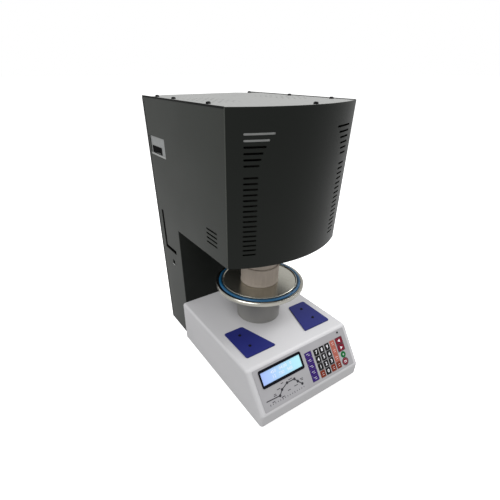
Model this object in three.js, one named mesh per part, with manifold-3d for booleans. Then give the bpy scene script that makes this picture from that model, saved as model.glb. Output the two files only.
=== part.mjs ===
// A dental lab furnace: a dark sheet-steel head on a rear column, over a white base.
// A platform with a blue seal ring lifts the firing pedestal up into the muffle in the head.
// Millimetres, +Z up, +X to the right, the front towards -Y.
import * as THREE from "three";
import { mergeVertices } from "three/addons/utils/BufferGeometryUtils.js";
import Module from "manifold-3d";

const wasm = await Module();
wasm.setup();

// Head and column
const HOUSING_TOP = 656;
const HEAD_FLOOR = 363;
const COLUMN_DEPTH = 128;
const FRONT_BOW = 45;
const SHEET = 1.5;

// Base under the head
const BASE_WIDTH = 330;
const DECK_HEIGHT = 137;
const BASE_REACH = 527;
const SLOPE_RUN = 69;
const SLOPE_DROP = 95;
const FOOT_HEIGHT = 8;
const BASE_WALL = 2.2;
const BASE_EDGE_RADIUS = 8;
const CREASE_RADIUS = 12;
const FASCIA_RADIUS = 10;
const PAN_SHEET = 2;

// Fits shared by all pieces
const FIT = 0.3;
const OVERRUN = 3;
const MERGE = 1e-4;

// Platform and what it carries
const PLATE_RADIUS = 114.5;
const PLATE_TOP = 244;
const PLATE_THICKNESS = 12.5;
const SEAL_INSET = 9;
const SEAL_CORD = 9;
const SEAL_SUNK = 4.5;
const BORE_RADIUS = 54;
const PEDESTAL_PLAY = 3.5;
const PEDESTAL_HEIGHT = 49;
const TABLE_STEP = 4.5;
const TABLE_HEIGHT = 15;
const COLUMN_RADIUS = 25;
const ROUND_STEPS = 36;
const SMALL_STEPS = 16;

// The head is built round the platform: its mouth, the can's flange and the room about them
const MOUTH_CLEARANCE = 3.5;
const FLANGE_LAP = 10;
const HEAD_SIDE_ROOM = 25.5;
const HEAD_REAR_ROOM = 24;
const HEAD_FRONT_ROOM = 7.5;
const MOUTH_RADIUS = PLATE_RADIUS + MOUTH_CLEARANCE;
const FLANGE_RADIUS = MOUTH_RADIUS + FLANGE_LAP;
const INSIDE = FLANGE_RADIUS + HEAD_SIDE_ROOM;
const HALF = INSIDE + SHEET;
const LIFT_AXIS_Y = -(COLUMN_DEPTH + HEAD_REAR_ROOM + FLANGE_RADIUS);
const SIDE_DEPTH = FLANGE_RADIUS + HEAD_FRONT_ROOM + SHEET - FRONT_BOW - LIFT_AXIS_Y;

// The base's own corners, and the radii inside the head
const BASE_HALF = BASE_WIDTH / 2;
const CREASE_REACH = BASE_REACH - SLOPE_RUN;
const FASCIA_TOP = DECK_HEIGHT - SLOPE_DROP;
const SEAL_RADIUS = PLATE_RADIUS - SEAL_INSET;
const PEDESTAL_RADIUS = BORE_RADIUS - PEDESTAL_PLAY;
const TABLE_RADIUS = PEDESTAL_RADIUS - TABLE_STEP;

// Finishes, as seen on the object
function finish(color, roughness, metalness) {
  return new THREE.MeshStandardMaterial({ color, roughness, metalness });
}
const graphitePaint = finish("#4a4b48", 0.55, 0.15);
const deepPaint = finish("#262826", 0.5, 0.15);
const bareSheet = finish("#b4b4b2", 0.45, 0.7);
const whitePaint = finish("#e4e4e6", 0.5, 0);
const bluePlastic = finish("#2b2f78", 0.45, 0);
const blueSilicone = finish("#2e6fae", 0.35, 0);
const rubber = finish("#1c1c1d", 0.85, 0);
const satinSteel = finish("#c9c8c2", 0.35, 0.9);
const mirrorSteel = finish("#d9d7cf", 0.08, 1);
const greyCollar = finish("#8a8a86", 0.5, 0.2);
const refractory = finish("#cdbdb0", 0.95, 0);
const fibre = finish("#efe9de", 0.95, 0);
const brassTone = finish("#b89a54", 0.35, 0.9);
const overlayGrey = finish("#b9b9bf", 0.5, 0);
const blackPlastic = finish("#18181b", 0.4, 0);
const litScreen = finish("#9fc6f2", 0.2, 0);
const boardGreen = finish("#2c6b45", 0.6, 0);
const keyPurple = finish("#4a2f86", 0.5, 0);
const keyBlack = finish("#17171a", 0.5, 0);
const keyOrange = finish("#e0633f", 0.5, 0);
const keySalmon = finish("#e79a83", 0.5, 0);
const keyMaroon = finish("#8e2536", 0.5, 0);
const keyGreen = finish("#1f9a5a", 0.5, 0);
const keyRed = finish("#b3243a", 0.5, 0);

// Solids from geometries, and back
function solidOf(geometry) {
  const bare = new THREE.BufferGeometry();
  const source = geometry.index ? geometry.toNonIndexed() : geometry;
  bare.setAttribute("position", source.getAttribute("position"));
  const merged = mergeVertices(bare, MERGE);
  const index = merged.index.array;
  const corners = [];
  for (let i = 0; i < index.length; i += 3) {
    const [a, b, c] = [index[i], index[i + 1], index[i + 2]];
    if (a !== b && b !== c && c !== a) corners.push(a, b, c);
  }
  const vertProperties = merged.attributes.position.array;
  const triVerts = new Uint32Array(corners);
  return new wasm.Manifold(new wasm.Mesh({ numProp: 3, vertProperties, triVerts }));
}

function geometryOf(solid) {
  const { vertProperties, triVerts } = solid.getMesh();
  const geometry = new THREE.BufferGeometry();
  geometry.setAttribute("position", new THREE.BufferAttribute(vertProperties, 3));
  geometry.setIndex(new THREE.BufferAttribute(triVerts, 1));
  const faceted = geometry.toNonIndexed();
  faceted.computeVertexNormals();
  return faceted;
}

function joined(first, ...others) {
  return others.reduce((whole, part) => whole.add(part), first);
}

function cut(first, ...cutters) {
  return cutters.reduce((whole, part) => whole.subtract(part), first);
}

// Outlines
function traced(path, corners) {
  const count = corners.length;
  corners.forEach(([x, y, radius = 0], i) => {
    const here = new THREE.Vector2(x, y);
    const back = new THREE.Vector2(...corners[(i + count - 1) % count]).sub(here).normalize();
    const ahead = new THREE.Vector2(...corners[(i + 1) % count]).sub(here).normalize();
    const half = Math.acos(THREE.MathUtils.clamp(back.dot(ahead), -1, 1)) / 2;
    const reach = radius / Math.tan(half);
    const start = here.clone().addScaledVector(back, reach);
    const end = here.clone().addScaledVector(ahead, reach);
    if (i === 0) path.moveTo(start.x, start.y);
    else path.lineTo(start.x, start.y);
    if (radius > 0) path.quadraticCurveTo(x, y, end.x, end.y);
  });
  path.closePath();
  return path;
}

function circle(x, y, radius, sides) {
  const corners = [];
  for (let i = 0; i < sides; i += 1) {
    const angle = (2 * Math.PI * i) / sides;
    corners.push([x + radius * Math.cos(angle), y + radius * Math.sin(angle)]);
  }
  return corners;
}

function hole(corners) {
  return traced(new THREE.Path(), corners);
}

function outline(corners) {
  return traced(new THREE.Shape(), corners);
}

function rectangle(x, y, width, height, radius = 0) {
  const [left, right] = [x - width / 2, x + width / 2];
  const [low, high] = [y - height / 2, y + height / 2];
  return [[left, low, radius], [right, low, radius], [right, high, radius], [left, high, radius]];
}

// Sheets and blocks: drawn flat, then laid or stood in place
function prism(shape, depth, curveSegments) {
  return new THREE.ExtrudeGeometry(shape, { depth, bevelEnabled: false, curveSegments });
}

function extruded(shape, thickness, curveSegments = 3) {
  const whole = prism(new THREE.Shape(shape.getPoints(curveSegments)), thickness, curveSegments);
  if (shape.holes.length === 0) return whole;
  const cutters = shape.holes.map((hole) => {
    const opening = new THREE.Shape(hole.getPoints(curveSegments));
    return solidOf(prism(opening, thickness + 2 * OVERRUN, curveSegments).translate(0, 0, -OVERRUN));
  });
  return geometryOf(cut(solidOf(whole), ...cutters));
}

function laid(shape, bottom, thickness, curveSegments) {
  return solidOf(extruded(shape, thickness, curveSegments).translate(0, 0, bottom));
}

const alongX = new THREE.Matrix4().makeBasis(
  new THREE.Vector3(0, 1, 0),
  new THREE.Vector3(0, 0, 1),
  new THREE.Vector3(1, 0, 0),
);
const alongBack = new THREE.Matrix4().makeBasis(
  new THREE.Vector3(1, 0, 0),
  new THREE.Vector3(0, 0, 1),
  new THREE.Vector3(0, -1, 0),
);

// A shape drawn in (y, z), standing from x = left
function stoodAcross(shape, left, thickness, curveSegments) {
  const geometry = extruded(shape, thickness, curveSegments).applyMatrix4(alongX);
  return solidOf(geometry.translate(left, 0, 0));
}

// A shape drawn in (x, z), standing from y = rear towards the front
function stoodFacing(shape, rear, thickness, curveSegments) {
  const geometry = extruded(shape, thickness, curveSegments).applyMatrix4(alongBack);
  return solidOf(geometry.translate(0, rear, 0));
}

function block(low, high) {
  const size = high.map((value, i) => value - low[i]);
  const middle = high.map((value, i) => (value + low[i]) / 2);
  return solidOf(new THREE.BoxGeometry(...size).translate(...middle));
}

// A round solid about the vertical line through (x, y); the profile gives [radius, z]
function turned(profile, x, y, steps = ROUND_STEPS) {
  const points = profile.map(([radius, z]) => new THREE.Vector2(radius, z));
  const geometry = new THREE.LatheGeometry(points, steps);
  return geometry.rotateX(Math.PI / 2).translate(x, y, 0);
}

function turnedRing(profile, x, y, steps) {
  return turned([...profile, profile[0]], x, y, steps);
}

function placed(name, geometry, material, parent) {
  const mesh = new THREE.Mesh(geometry, material);
  mesh.name = name;
  parent.add(mesh);
  return mesh;
}

const furnace = new THREE.Group();

// Side covers: sheet with a top lip that the top plate rests on
const PLATE_EDGE = INSIDE - FIT;
const LIP_WIDTH = 12;
const TOP_RECESS = 0.8;
const TOP_SEAT = HOUSING_TOP - TOP_RECESS - SHEET - FIT;
const RETURN_DEPTH = 22;
const CORNER_CUT_X = 48;
const CORNER_CUT_Y = 45;
const SEAM_Y = SIDE_DEPTH - SHEET - FIT;

const SIDE_VENT_LENGTH = 46;
const SIDE_VENT_HEIGHT = 4;
const SIDE_VENT_PITCH = 10;
const SIDE_VENT_COUNT = 4;
const SIDE_VENT_RISE = 32.5;
const SIDE_VENT_INSET = 63;
const SLOT_ROUND_SHARE = 0.42;

const WINDOW_Y = -58;
const WINDOW_DROP = 103;
const WINDOW_Z = HOUSING_TOP - WINDOW_DROP;
const WINDOW_LENGTH = 88;
const WINDOW_HEIGHT = 43;
const SLOT_WIDTH = 7.5;
const SLOT_Y = -33;
const SLOT_TOP = 391;
const SLOT_BOTTOM = 282.5;
const SLOT_REACH = 62;
const PORT_Y = -71;
const PORT_Z = 249;
const PORT_WIDTH = 13;
const PORT_HEIGHT = 12;

function sideVents() {
  const rows = [];
  const round = SLOT_ROUND_SHARE * SIDE_VENT_HEIGHT;
  const y = SIDE_VENT_INSET - SIDE_DEPTH;
  for (let i = 0; i < SIDE_VENT_COUNT; i += 1) {
    const z = HEAD_FLOOR + SIDE_VENT_RISE + i * SIDE_VENT_PITCH;
    rows.push(rectangle(y, z, SIDE_VENT_LENGTH, SIDE_VENT_HEIGHT, round));
  }
  return rows;
}

function cornerSlot() {
  const [rear, front] = [SLOT_Y + SLOT_WIDTH / 2, SLOT_Y - SLOT_WIDTH / 2];
  return [
    [rear, SLOT_TOP],
    [front, SLOT_TOP],
    [front, SLOT_BOTTOM + SLOT_WIDTH],
    [SLOT_Y - SLOT_REACH, SLOT_BOTTOM + SLOT_WIDTH],
    [SLOT_Y - SLOT_REACH, SLOT_BOTTOM],
    [rear, SLOT_BOTTOM],
  ];
}

function sideCover(side) {
  const shape = outline([
    [0, FOOT_HEIGHT],
    [0, HOUSING_TOP],
    [-SEAM_Y, HOUSING_TOP],
    [-SEAM_Y, HEAD_FLOOR],
    [-COLUMN_DEPTH, HEAD_FLOOR],
    [-COLUMN_DEPTH, FOOT_HEIGHT],
  ]);
  const openings = sideVents();
  if (side < 0) {
    openings.push(rectangle(WINDOW_Y, WINDOW_Z, WINDOW_LENGTH, WINDOW_HEIGHT));
    openings.push(cornerSlot());
    openings.push(rectangle(PORT_Y, PORT_Z, PORT_WIDTH, PORT_HEIGHT));
  }
  shape.holes = openings.map(hole);
  const left = side < 0 ? -HALF : INSIDE;
  const sheet = stoodAcross(shape, left, SHEET);
  const wall = side * (INSIDE + SHEET / 2);
  const lip = outline([
    [wall, -SHEET - FIT],
    [side * (INSIDE - CORNER_CUT_X), -SHEET - FIT],
    [side * (INSIDE - LIP_WIDTH), -CORNER_CUT_Y],
    [side * (INSIDE - LIP_WIDTH), -(SIDE_DEPTH - RETURN_DEPTH - FIT)],
    [wall, -(SIDE_DEPTH - RETURN_DEPTH - FIT)],
  ]);
  return geometryOf(joined(sheet, laid(lip, TOP_SEAT - SHEET, SHEET)));
}
placed("left_side_cover", sideCover(-1), graphitePaint, furnace);
placed("right_side_cover", sideCover(1), graphitePaint, furnace);

// Front cover: one sheet bowed to an arc, with a return behind each side cover
const FRONT_RADIUS = (HALF * HALF + FRONT_BOW * FRONT_BOW) / (2 * FRONT_BOW);
const FRONT_CENTRE_Y = FRONT_RADIUS - SIDE_DEPTH - FRONT_BOW;
const FRONT_HALF_ANGLE = Math.asin(HALF / FRONT_RADIUS);
const FRONT_STEPS = 16;
const VENT_STEPS = 1;
const VENT_HEIGHT = 3.6;
const VENT_TOP_INSET = 39.5;
const VENT_LOW_INSET = 31.3;
const VENT_SIDE_INSET = 27;
const VENT_LENGTH = 28;
const VENT_ROWS = 23;
const VENT_TOP = HOUSING_TOP - VENT_TOP_INSET;
const VENT_PITCH = (VENT_TOP - HEAD_FLOOR - VENT_LOW_INSET) / (VENT_ROWS - 1);
const VENT_BLANK_ROW = 6;
const VENT_TAPER_SHARES = [2.04, 1.7, 1.46, 1.29, 1.16, 1.06];

function bandShape(outer, inner, from, to) {
  const shape = new THREE.Shape();
  const down = -Math.PI / 2;
  shape.absarc(0, FRONT_CENTRE_Y, outer, down + from, down + to, false);
  shape.absarc(0, FRONT_CENTRE_Y, inner, down + to, down + from, true);
  shape.closePath();
  return shape;
}

function frontVents() {
  const start = -Math.asin((HALF - VENT_SIDE_INSET) / FRONT_RADIUS);
  const cutters = [];
  for (let row = 0; row < VENT_ROWS; row += 1) {
    if (row === VENT_BLANK_ROW) continue;
    const length = VENT_LENGTH * (VENT_TAPER_SHARES[row] ?? 1);
    const end = start + length / FRONT_RADIUS;
    const low = VENT_TOP - row * VENT_PITCH - VENT_HEIGHT / 2;
    const [outer, inner] = [FRONT_RADIUS + OVERRUN, FRONT_RADIUS - SHEET - OVERRUN];
    cutters.push(laid(bandShape(outer, inner, start, end), low, VENT_HEIGHT, VENT_STEPS));
    cutters.push(laid(bandShape(outer, inner, -end, -start), low, VENT_HEIGHT, VENT_STEPS));
  }
  return cutters;
}

function frontCover() {
  const outer = bandShape(FRONT_RADIUS, FRONT_RADIUS - SHEET, -FRONT_HALF_ANGLE, FRONT_HALF_ANGLE);
  const skin = laid(outer, HEAD_FLOOR, HOUSING_TOP - HEAD_FLOOR, FRONT_STEPS);
  const lipAngle = Math.asin((INSIDE - LIP_WIDTH - FIT) / FRONT_RADIUS);
  const lip = bandShape(FRONT_RADIUS - SHEET / 2, FRONT_RADIUS - LIP_WIDTH, -lipAngle, lipAngle);
  const returns = [-1, 1].map((side) => {
    const [near, far] = [side * PLATE_EDGE, side * (PLATE_EDGE - SHEET)];
    return block(
      [Math.min(near, far), -SIDE_DEPTH - SHEET / 2, HEAD_FLOOR + SHEET + FIT],
      [Math.max(near, far), -(SIDE_DEPTH - RETURN_DEPTH), TOP_SEAT],
    );
  });
  const cover = joined(skin, laid(lip, TOP_SEAT - SHEET, SHEET, FRONT_STEPS), ...returns);
  return geometryOf(cut(cover, ...frontVents()));
}
placed("front_cover", frontCover(), graphitePaint, furnace);

// Top plate: bare sheet let in between the covers, with two perforated fields
const HOLE_RADIUS = 2.6;
const HOLE_SIDES = 6;
const HOLE_PITCH_X = 15;
const HOLE_PITCH_Y = 20;
const HOLE_COLUMNS = 5;
const HOLE_ROWS = 7;
const HOLE_FIELD_INSET = 63;
const HOLE_FIELD_BEHIND = 65;
const REAR_INSIDE = SHEET + FIT;

function plateArc(path, inset) {
  const radius = FRONT_RADIUS - SHEET - FIT;
  const side = PLATE_EDGE - inset;
  const angle = Math.asin(side / radius);
  const down = -Math.PI / 2;
  path.absarc(0, FRONT_CENTRE_Y, radius, down - angle, down + angle, false);
}

function topPlate() {
  const shape = new THREE.Shape();
  plateArc(shape, 0);
  shape.lineTo(PLATE_EDGE, -CORNER_CUT_Y);
  shape.lineTo(INSIDE - CORNER_CUT_X, -REAR_INSIDE);
  shape.lineTo(CORNER_CUT_X - INSIDE, -REAR_INSIDE);
  shape.lineTo(-PLATE_EDGE, -CORNER_CUT_Y);
  shape.closePath();
  for (const side of [-1, 1]) {
    for (let column = 0; column < HOLE_COLUMNS; column += 1) {
      for (let row = 0; row < HOLE_ROWS; row += 1) {
        const x = side * (HALF - HOLE_FIELD_INSET) + (column - (HOLE_COLUMNS - 1) / 2) * HOLE_PITCH_X;
        const y = LIFT_AXIS_Y + HOLE_FIELD_BEHIND + (row - (HOLE_ROWS - 1) / 2) * HOLE_PITCH_Y;
        shape.holes.push(hole(circle(x, y, HOLE_RADIUS, HOLE_SIDES)));
      }
    }
  }
  return shape;
}
const topSolid = extruded(topPlate(), SHEET, FRONT_STEPS);
placed("top_plate", topSolid.translate(0, 0, TOP_SEAT + FIT), bareSheet, furnace);

// Head floor: closes the head below, round the mouth of the vacuum chamber
function headFloor() {
  const shape = new THREE.Shape();
  plateArc(shape, 0);
  shape.lineTo(PLATE_EDGE, -(COLUMN_DEPTH - SHEET));
  shape.lineTo(-PLATE_EDGE, -(COLUMN_DEPTH - SHEET));
  shape.closePath();
  shape.holes.push(hole(circle(0, LIFT_AXIS_Y, MOUTH_RADIUS, ROUND_STEPS)));
  return extruded(shape, SHEET, FRONT_STEPS).translate(0, 0, HEAD_FLOOR);
}
placed("head_floor_plate", headFloor(), deepPaint, furnace);

// Column front plate: from the pan to the head, with a cable window inside the base
const PAN_TOP = FOOT_HEIGHT + PAN_SHEET;
const CABLE_WINDOW_WIDTH = 60;
const CABLE_WINDOW_HEIGHT = 50;
const CABLE_WINDOW_Z = 60;

function columnFrontPlate() {
  const low = PAN_TOP + FIT;
  const high = HEAD_FLOOR - FIT;
  const shape = outline(rectangle(0, (low + high) / 2, 2 * PLATE_EDGE, high - low));
  const window = rectangle(0, CABLE_WINDOW_Z, CABLE_WINDOW_WIDTH, CABLE_WINDOW_HEIGHT);
  shape.holes.push(hole(window));
  return geometryOf(stoodFacing(shape, -(COLUMN_DEPTH - SHEET), SHEET));
}
placed("column_front_plate", columnFrontPlate(), deepPaint, furnace);

// Rear cover: flat sheet with exhaust slots, the inlet's cut-out and the nipple's hole
const FITTING_INSET = 60;
const INLET_X = HALF - FITTING_INSET;
const INLET_Z = 62;
const INLET_BODY_WIDTH = 28;
const INLET_BODY_HEIGHT = 20;
const NIPPLE_X = FITTING_INSET - HALF;
const NIPPLE_Z = 62;
const NIPPLE_STUB_RADIUS = 5;
const NIPPLE_SIDES = 12;
const REAR_VENT_LENGTH = 70;
const REAR_VENT_HEIGHT = 4;
const REAR_VENT_PITCH = 12;
const REAR_VENT_COUNT = 8;
const REAR_VENT_DROP = 46;
const REAR_VENT_INSET = 95;
const REAR_CURVE_STEPS = 2;

function rearCover() {
  const high = TOP_SEAT - SHEET - FIT;
  const low = FOOT_HEIGHT;
  const shape = outline(rectangle(0, (low + high) / 2, 2 * PLATE_EDGE, high - low));
  const openings = [];
  for (const side of [-1, 1]) {
    for (let i = 0; i < REAR_VENT_COUNT; i += 1) {
      const x = side * (HALF - REAR_VENT_INSET);
      const z = HOUSING_TOP - REAR_VENT_DROP - i * REAR_VENT_PITCH;
      const round = SLOT_ROUND_SHARE * REAR_VENT_HEIGHT;
      openings.push(rectangle(x, z, REAR_VENT_LENGTH, REAR_VENT_HEIGHT, round));
    }
  }
  const [width, height] = [INLET_BODY_WIDTH + 2 * FIT, INLET_BODY_HEIGHT + 2 * FIT];
  openings.push(rectangle(INLET_X, INLET_Z, width, height));
  shape.holes = openings.map(hole);
  shape.holes.push(hole(circle(NIPPLE_X, NIPPLE_Z, NIPPLE_STUB_RADIUS + FIT, NIPPLE_SIDES)));
  return geometryOf(stoodFacing(shape, 0, SHEET, REAR_CURVE_STEPS));
}
placed("rear_cover", rearCover(), graphitePaint, furnace);

// Mains inlet: a moulded socket pushed through the rear cover
const INLET_FLANGE_WIDTH = 50;
const INLET_FLANGE_HEIGHT = 30;
const INLET_FLANGE = 2.5;
const INLET_DEPTH = 22;
const INLET_CAVITY_DEPTH = 16;
const INLET_WALL = 2;

function mainsInlet() {
  const flange = rectangle(INLET_X, INLET_Z, INLET_FLANGE_WIDTH, INLET_FLANGE_HEIGHT, INLET_WALL);
  const plate = stoodFacing(outline(flange), FIT + INLET_FLANGE, INLET_FLANGE);
  const [halfWidth, halfHeight] = [INLET_BODY_WIDTH / 2, INLET_BODY_HEIGHT / 2];
  const body = block(
    [INLET_X - halfWidth, FIT - INLET_DEPTH, INLET_Z - halfHeight],
    [INLET_X + halfWidth, FIT + INLET_FLANGE / 2, INLET_Z + halfHeight],
  );
  const mouth = FIT + INLET_FLANGE;
  const cavity = block(
    [INLET_X - halfWidth + INLET_WALL, mouth - INLET_CAVITY_DEPTH, INLET_Z - halfHeight + INLET_WALL],
    [INLET_X + halfWidth - INLET_WALL, mouth + OVERRUN, INLET_Z + halfHeight - INLET_WALL],
  );
  return geometryOf(cut(joined(plate, body), cavity));
}
placed("mains_inlet", mainsInlet(), blackPlastic, furnace);

// Hose nipple: a turned brass barb for the vacuum hose, through the rear cover
const NIPPLE_FLANGE_RADIUS = 9;
const NIPPLE_FLANGE = 3;
const NIPPLE_STEM_RADIUS = 3.4;
const NIPPLE_BARB_RADIUS = 4.4;
const NIPPLE_BARB_PITCH = 5;
const NIPPLE_BARBS = 3;
const NIPPLE_STUB = 9;
const NIPPLE_NECK = 2;

function hoseNipple() {
  const face = FIT + NIPPLE_FLANGE;
  const profile = [
    [0, FIT - NIPPLE_STUB],
    [NIPPLE_STUB_RADIUS, FIT - NIPPLE_STUB],
    [NIPPLE_STUB_RADIUS, FIT],
    [NIPPLE_FLANGE_RADIUS, FIT],
    [NIPPLE_FLANGE_RADIUS, face],
    [NIPPLE_STEM_RADIUS, face],
  ];
  let reach = face + NIPPLE_NECK;
  for (let i = 0; i < NIPPLE_BARBS; i += 1) {
    profile.push([NIPPLE_STEM_RADIUS, reach], [NIPPLE_BARB_RADIUS, reach]);
    reach += NIPPLE_BARB_PITCH;
    profile.push([NIPPLE_STEM_RADIUS, reach]);
  }
  profile.push([0, reach]);
  const points = profile.map(([radius, y]) => new THREE.Vector2(radius, y));
  return new THREE.LatheGeometry(points, NIPPLE_SIDES).translate(NIPPLE_X, 0, NIPPLE_Z);
}
placed("hose_nipple", hoseNipple(), brassTone, furnace);
const REAR_REACH = FIT + NIPPLE_FLANGE + NIPPLE_NECK + NIPPLE_BARBS * NIPPLE_BARB_PITCH;

// Column frame: a folded steel channel; its left wall shows behind the side window
const FRAME_SHEET = 2;
const WINDOW_RECESS = 4.5;
const FRAME_HALF = INSIDE - WINDOW_RECESS;
const FRAME_REAR = 12;
const FRAME_FRONT = 10;
const FRAME_DROP = 16;
const FRAME_TOP = HOUSING_TOP - FRAME_DROP;
const ROCKER_LENGTH = 44;
const ROCKER_WIDTH = 14;
const ROCKER_BEHIND = 7;
const ROCKER_BELOW = 8;
const ROCKER_Y = WINDOW_Y + ROCKER_BEHIND;
const ROCKER_Z = WINDOW_Z - ROCKER_BELOW;
const ROCKER_PLAY = 0.8;

function columnFrame() {
  const low = PAN_TOP + FIT;
  const front = -(COLUMN_DEPTH - SHEET - FRAME_FRONT);
  const shape = new THREE.Shape();
  shape.moveTo(-FRAME_HALF, -FRAME_REAR);
  shape.lineTo(-FRAME_HALF, front);
  shape.lineTo(FRAME_HALF, front);
  shape.lineTo(FRAME_HALF, -FRAME_REAR);
  shape.lineTo(FRAME_HALF - FRAME_SHEET, -FRAME_REAR);
  shape.lineTo(FRAME_HALF - FRAME_SHEET, front + FRAME_SHEET);
  shape.lineTo(FRAME_SHEET - FRAME_HALF, front + FRAME_SHEET);
  shape.lineTo(FRAME_SHEET - FRAME_HALF, -FRAME_REAR);
  shape.closePath();
  const channel = laid(shape, low, FRAME_TOP - low);
  const [length, width] = [ROCKER_LENGTH / 2 + ROCKER_PLAY, ROCKER_WIDTH / 2 + FIT];
  const seat = block(
    [-FRAME_HALF - OVERRUN, ROCKER_Y - length, ROCKER_Z - width],
    [-FRAME_HALF + FRAME_SHEET + OVERRUN, ROCKER_Y + length, ROCKER_Z + width],
  );
  const [halfWidth, halfHeight] = [CABLE_WINDOW_WIDTH / 2, CABLE_WINDOW_HEIGHT / 2];
  const cables = block(
    [-halfWidth, front - OVERRUN, CABLE_WINDOW_Z - halfHeight],
    [halfWidth, front + FRAME_SHEET + OVERRUN, CABLE_WINDOW_Z + halfHeight],
  );
  return geometryOf(cut(channel, seat, cables));
}
placed("column_frame", columnFrame(), bareSheet, furnace);

// Power rocker: rocks about an upright pin in the frame's left wall; one end is pressed in
const ROCKER_TILT = THREE.MathUtils.degToRad(7);
const ROCKER_END_RISE = 2.4;
const ROCKER_MID_RISE = 1;
const ROCKER_END_SINK = 1.2;
const ROCKER_KEEL = 7;
const ROCKER_KEEL_LENGTH = 20;

function powerRocker() {
  const end = ROCKER_LENGTH / 2;
  const keel = ROCKER_KEEL_LENGTH / 2;
  const shape = outline([
    [-ROCKER_END_RISE, -end],
    [-ROCKER_MID_RISE, 0],
    [-ROCKER_END_RISE, end],
    [ROCKER_END_SINK, end],
    [ROCKER_KEEL, keel],
    [ROCKER_KEEL, -keel],
    [ROCKER_END_SINK, -end],
  ]);
  return geometryOf(laid(shape, -ROCKER_WIDTH / 2, ROCKER_WIDTH));
}
const rocker = placed("power_rocker", powerRocker(), blackPlastic, furnace);
rocker.position.set(-FRAME_HALF, ROCKER_Y, ROCKER_Z);
rocker.rotation.z = ROCKER_TILT;

// Base shell: a white folded housing, open below and at the rear
const BASE_REAR = COLUMN_DEPTH + FIT;
const EDGE_STEPS = 4;
const slopeLength = Math.hypot(SLOPE_RUN, SLOPE_DROP);
const slopeNormal = new THREE.Vector2(-SLOPE_DROP / slopeLength, SLOPE_RUN / slopeLength);
const deckNormal = new THREE.Vector2(0, 1);
const fasciaNormal = new THREE.Vector2(-1, 0);

function insetCorner(y, z, first, second, inset) {
  const shift = -inset / (1 + first.dot(second));
  return [y + (first.x + second.x) * shift, z + (first.y + second.y) * shift];
}

function baseBlock(inset, rearReach) {
  const crease = insetCorner(-CREASE_REACH, DECK_HEIGHT, deckNormal, slopeNormal, inset);
  const nose = insetCorner(-BASE_REACH, FASCIA_TOP, slopeNormal, fasciaNormal, inset);
  const edge = BASE_EDGE_RADIUS - inset;
  const shape = outline([
    [rearReach, DECK_HEIGHT - inset],
    [...crease, CREASE_RADIUS - inset],
    [...nose, FASCIA_RADIUS - inset],
    [-BASE_REACH + inset, -BASE_EDGE_RADIUS - OVERRUN],
    [rearReach, -BASE_EDGE_RADIUS - OVERRUN],
  ]);
  const half = BASE_HALF - inset;
  const geometry = new THREE.ExtrudeGeometry(shape, {
    depth: 2 * (half - edge),
    bevelEnabled: true,
    bevelThickness: edge,
    bevelSize: edge,
    bevelOffset: -edge,
    bevelSegments: EDGE_STEPS,
    curveSegments: EDGE_STEPS,
  });
  return solidOf(geometry.applyMatrix4(alongX).translate(edge - half, 0, 0));
}

// Panel frame: origin at the middle of the crease, x across, y up the slope, z outwards
const panelMatrix = new THREE.Matrix4().makeBasis(
  new THREE.Vector3(1, 0, 0),
  new THREE.Vector3(0, SLOPE_RUN / slopeLength, SLOPE_DROP / slopeLength),
  new THREE.Vector3(0, slopeNormal.x, slopeNormal.y),
);
panelMatrix.setPosition(0, -CREASE_REACH, DECK_HEIGHT);

function onPanel(shape, low, thickness, curveSegments) {
  const geometry = extruded(shape, thickness, curveSegments).translate(0, 0, low);
  return solidOf(geometry.applyMatrix4(panelMatrix));
}

// Film on the slope: its edges, and the sizes and gaps of what stands in it
const FILM_SIDE_INSET = 14;
const FILM_TOP_INSET = 6.5;
const FILM_LOW_INSET = 6.4;
const OVERLAY_HALF = BASE_HALF - FILM_SIDE_INSET;
const OVERLAY_TOP_Y = -FILM_TOP_INSET;
const OVERLAY_BOTTOM_Y = FILM_LOW_INSET - slopeLength;

const DISPLAY_WIDTH = 127.5;
const DISPLAY_HEIGHT = 41.5;
const FUNCTION_WIDTH = 20;
const FUNCTION_HEIGHT = 14;
const KEY_WIDTH = 14;
const KEY_HEIGHT = 16;
const ARROW_WIDTH = 22;
const DISPLAY_LEFT = 15.25;
const DISPLAY_GAP = 13.25;
const FUNCTION_GAP = 9.5;
const KEY_GAP_X = 5.6;
const ARROW_GAP = 6.7;
const ARROW_RIGHT = 15;
const DISPLAY_ABOVE = 7.15;
const DISPLAY_BELOW = 55.87;
const FUNCTION_ABOVE = 18.5;
const FUNCTION_GAP_Y = 1.8;
const FUNCTION_BELOW = 8.8;
const KEY_ABOVE = 21;
const KEY_GAP_Y = 3.8;
const KEY_BELOW = 8.1;
const KEY_RADIUS = 1.5;
const ROUND_KEY_GROWTH = 0.5;
const ROUND_KEY_SIDES = 16;
const FUNCTION_COUNT = 5;
const ROW_COUNT = 4;
const COLUMN_COUNT = 4;

// Sizes with their gaps between them, fitted to a length: the middle and the size of each
function spaced(sizes, gaps, start, length) {
  const total = [...sizes, ...gaps].reduce((sum, size) => sum + size, 0);
  const fit = length / total;
  let reach = start;
  return sizes.map((size, i) => {
    reach += fit * gaps[i];
    const middle = reach + (fit * size) / 2;
    reach += fit * size;
    return { middle, size: fit * size };
  });
}

function repeated(value, count) {
  return Array.from({ length: count }, () => value);
}

function rowsDown(size, count, above, gap, below) {
  const gaps = [above, ...repeated(gap, count - 1), below];
  const rows = spaced(repeated(size, count), gaps, 0, OVERLAY_TOP_Y - OVERLAY_BOTTOM_Y);
  return rows.map((row) => ({ middle: OVERLAY_TOP_Y - row.middle, size: row.size }));
}

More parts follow.
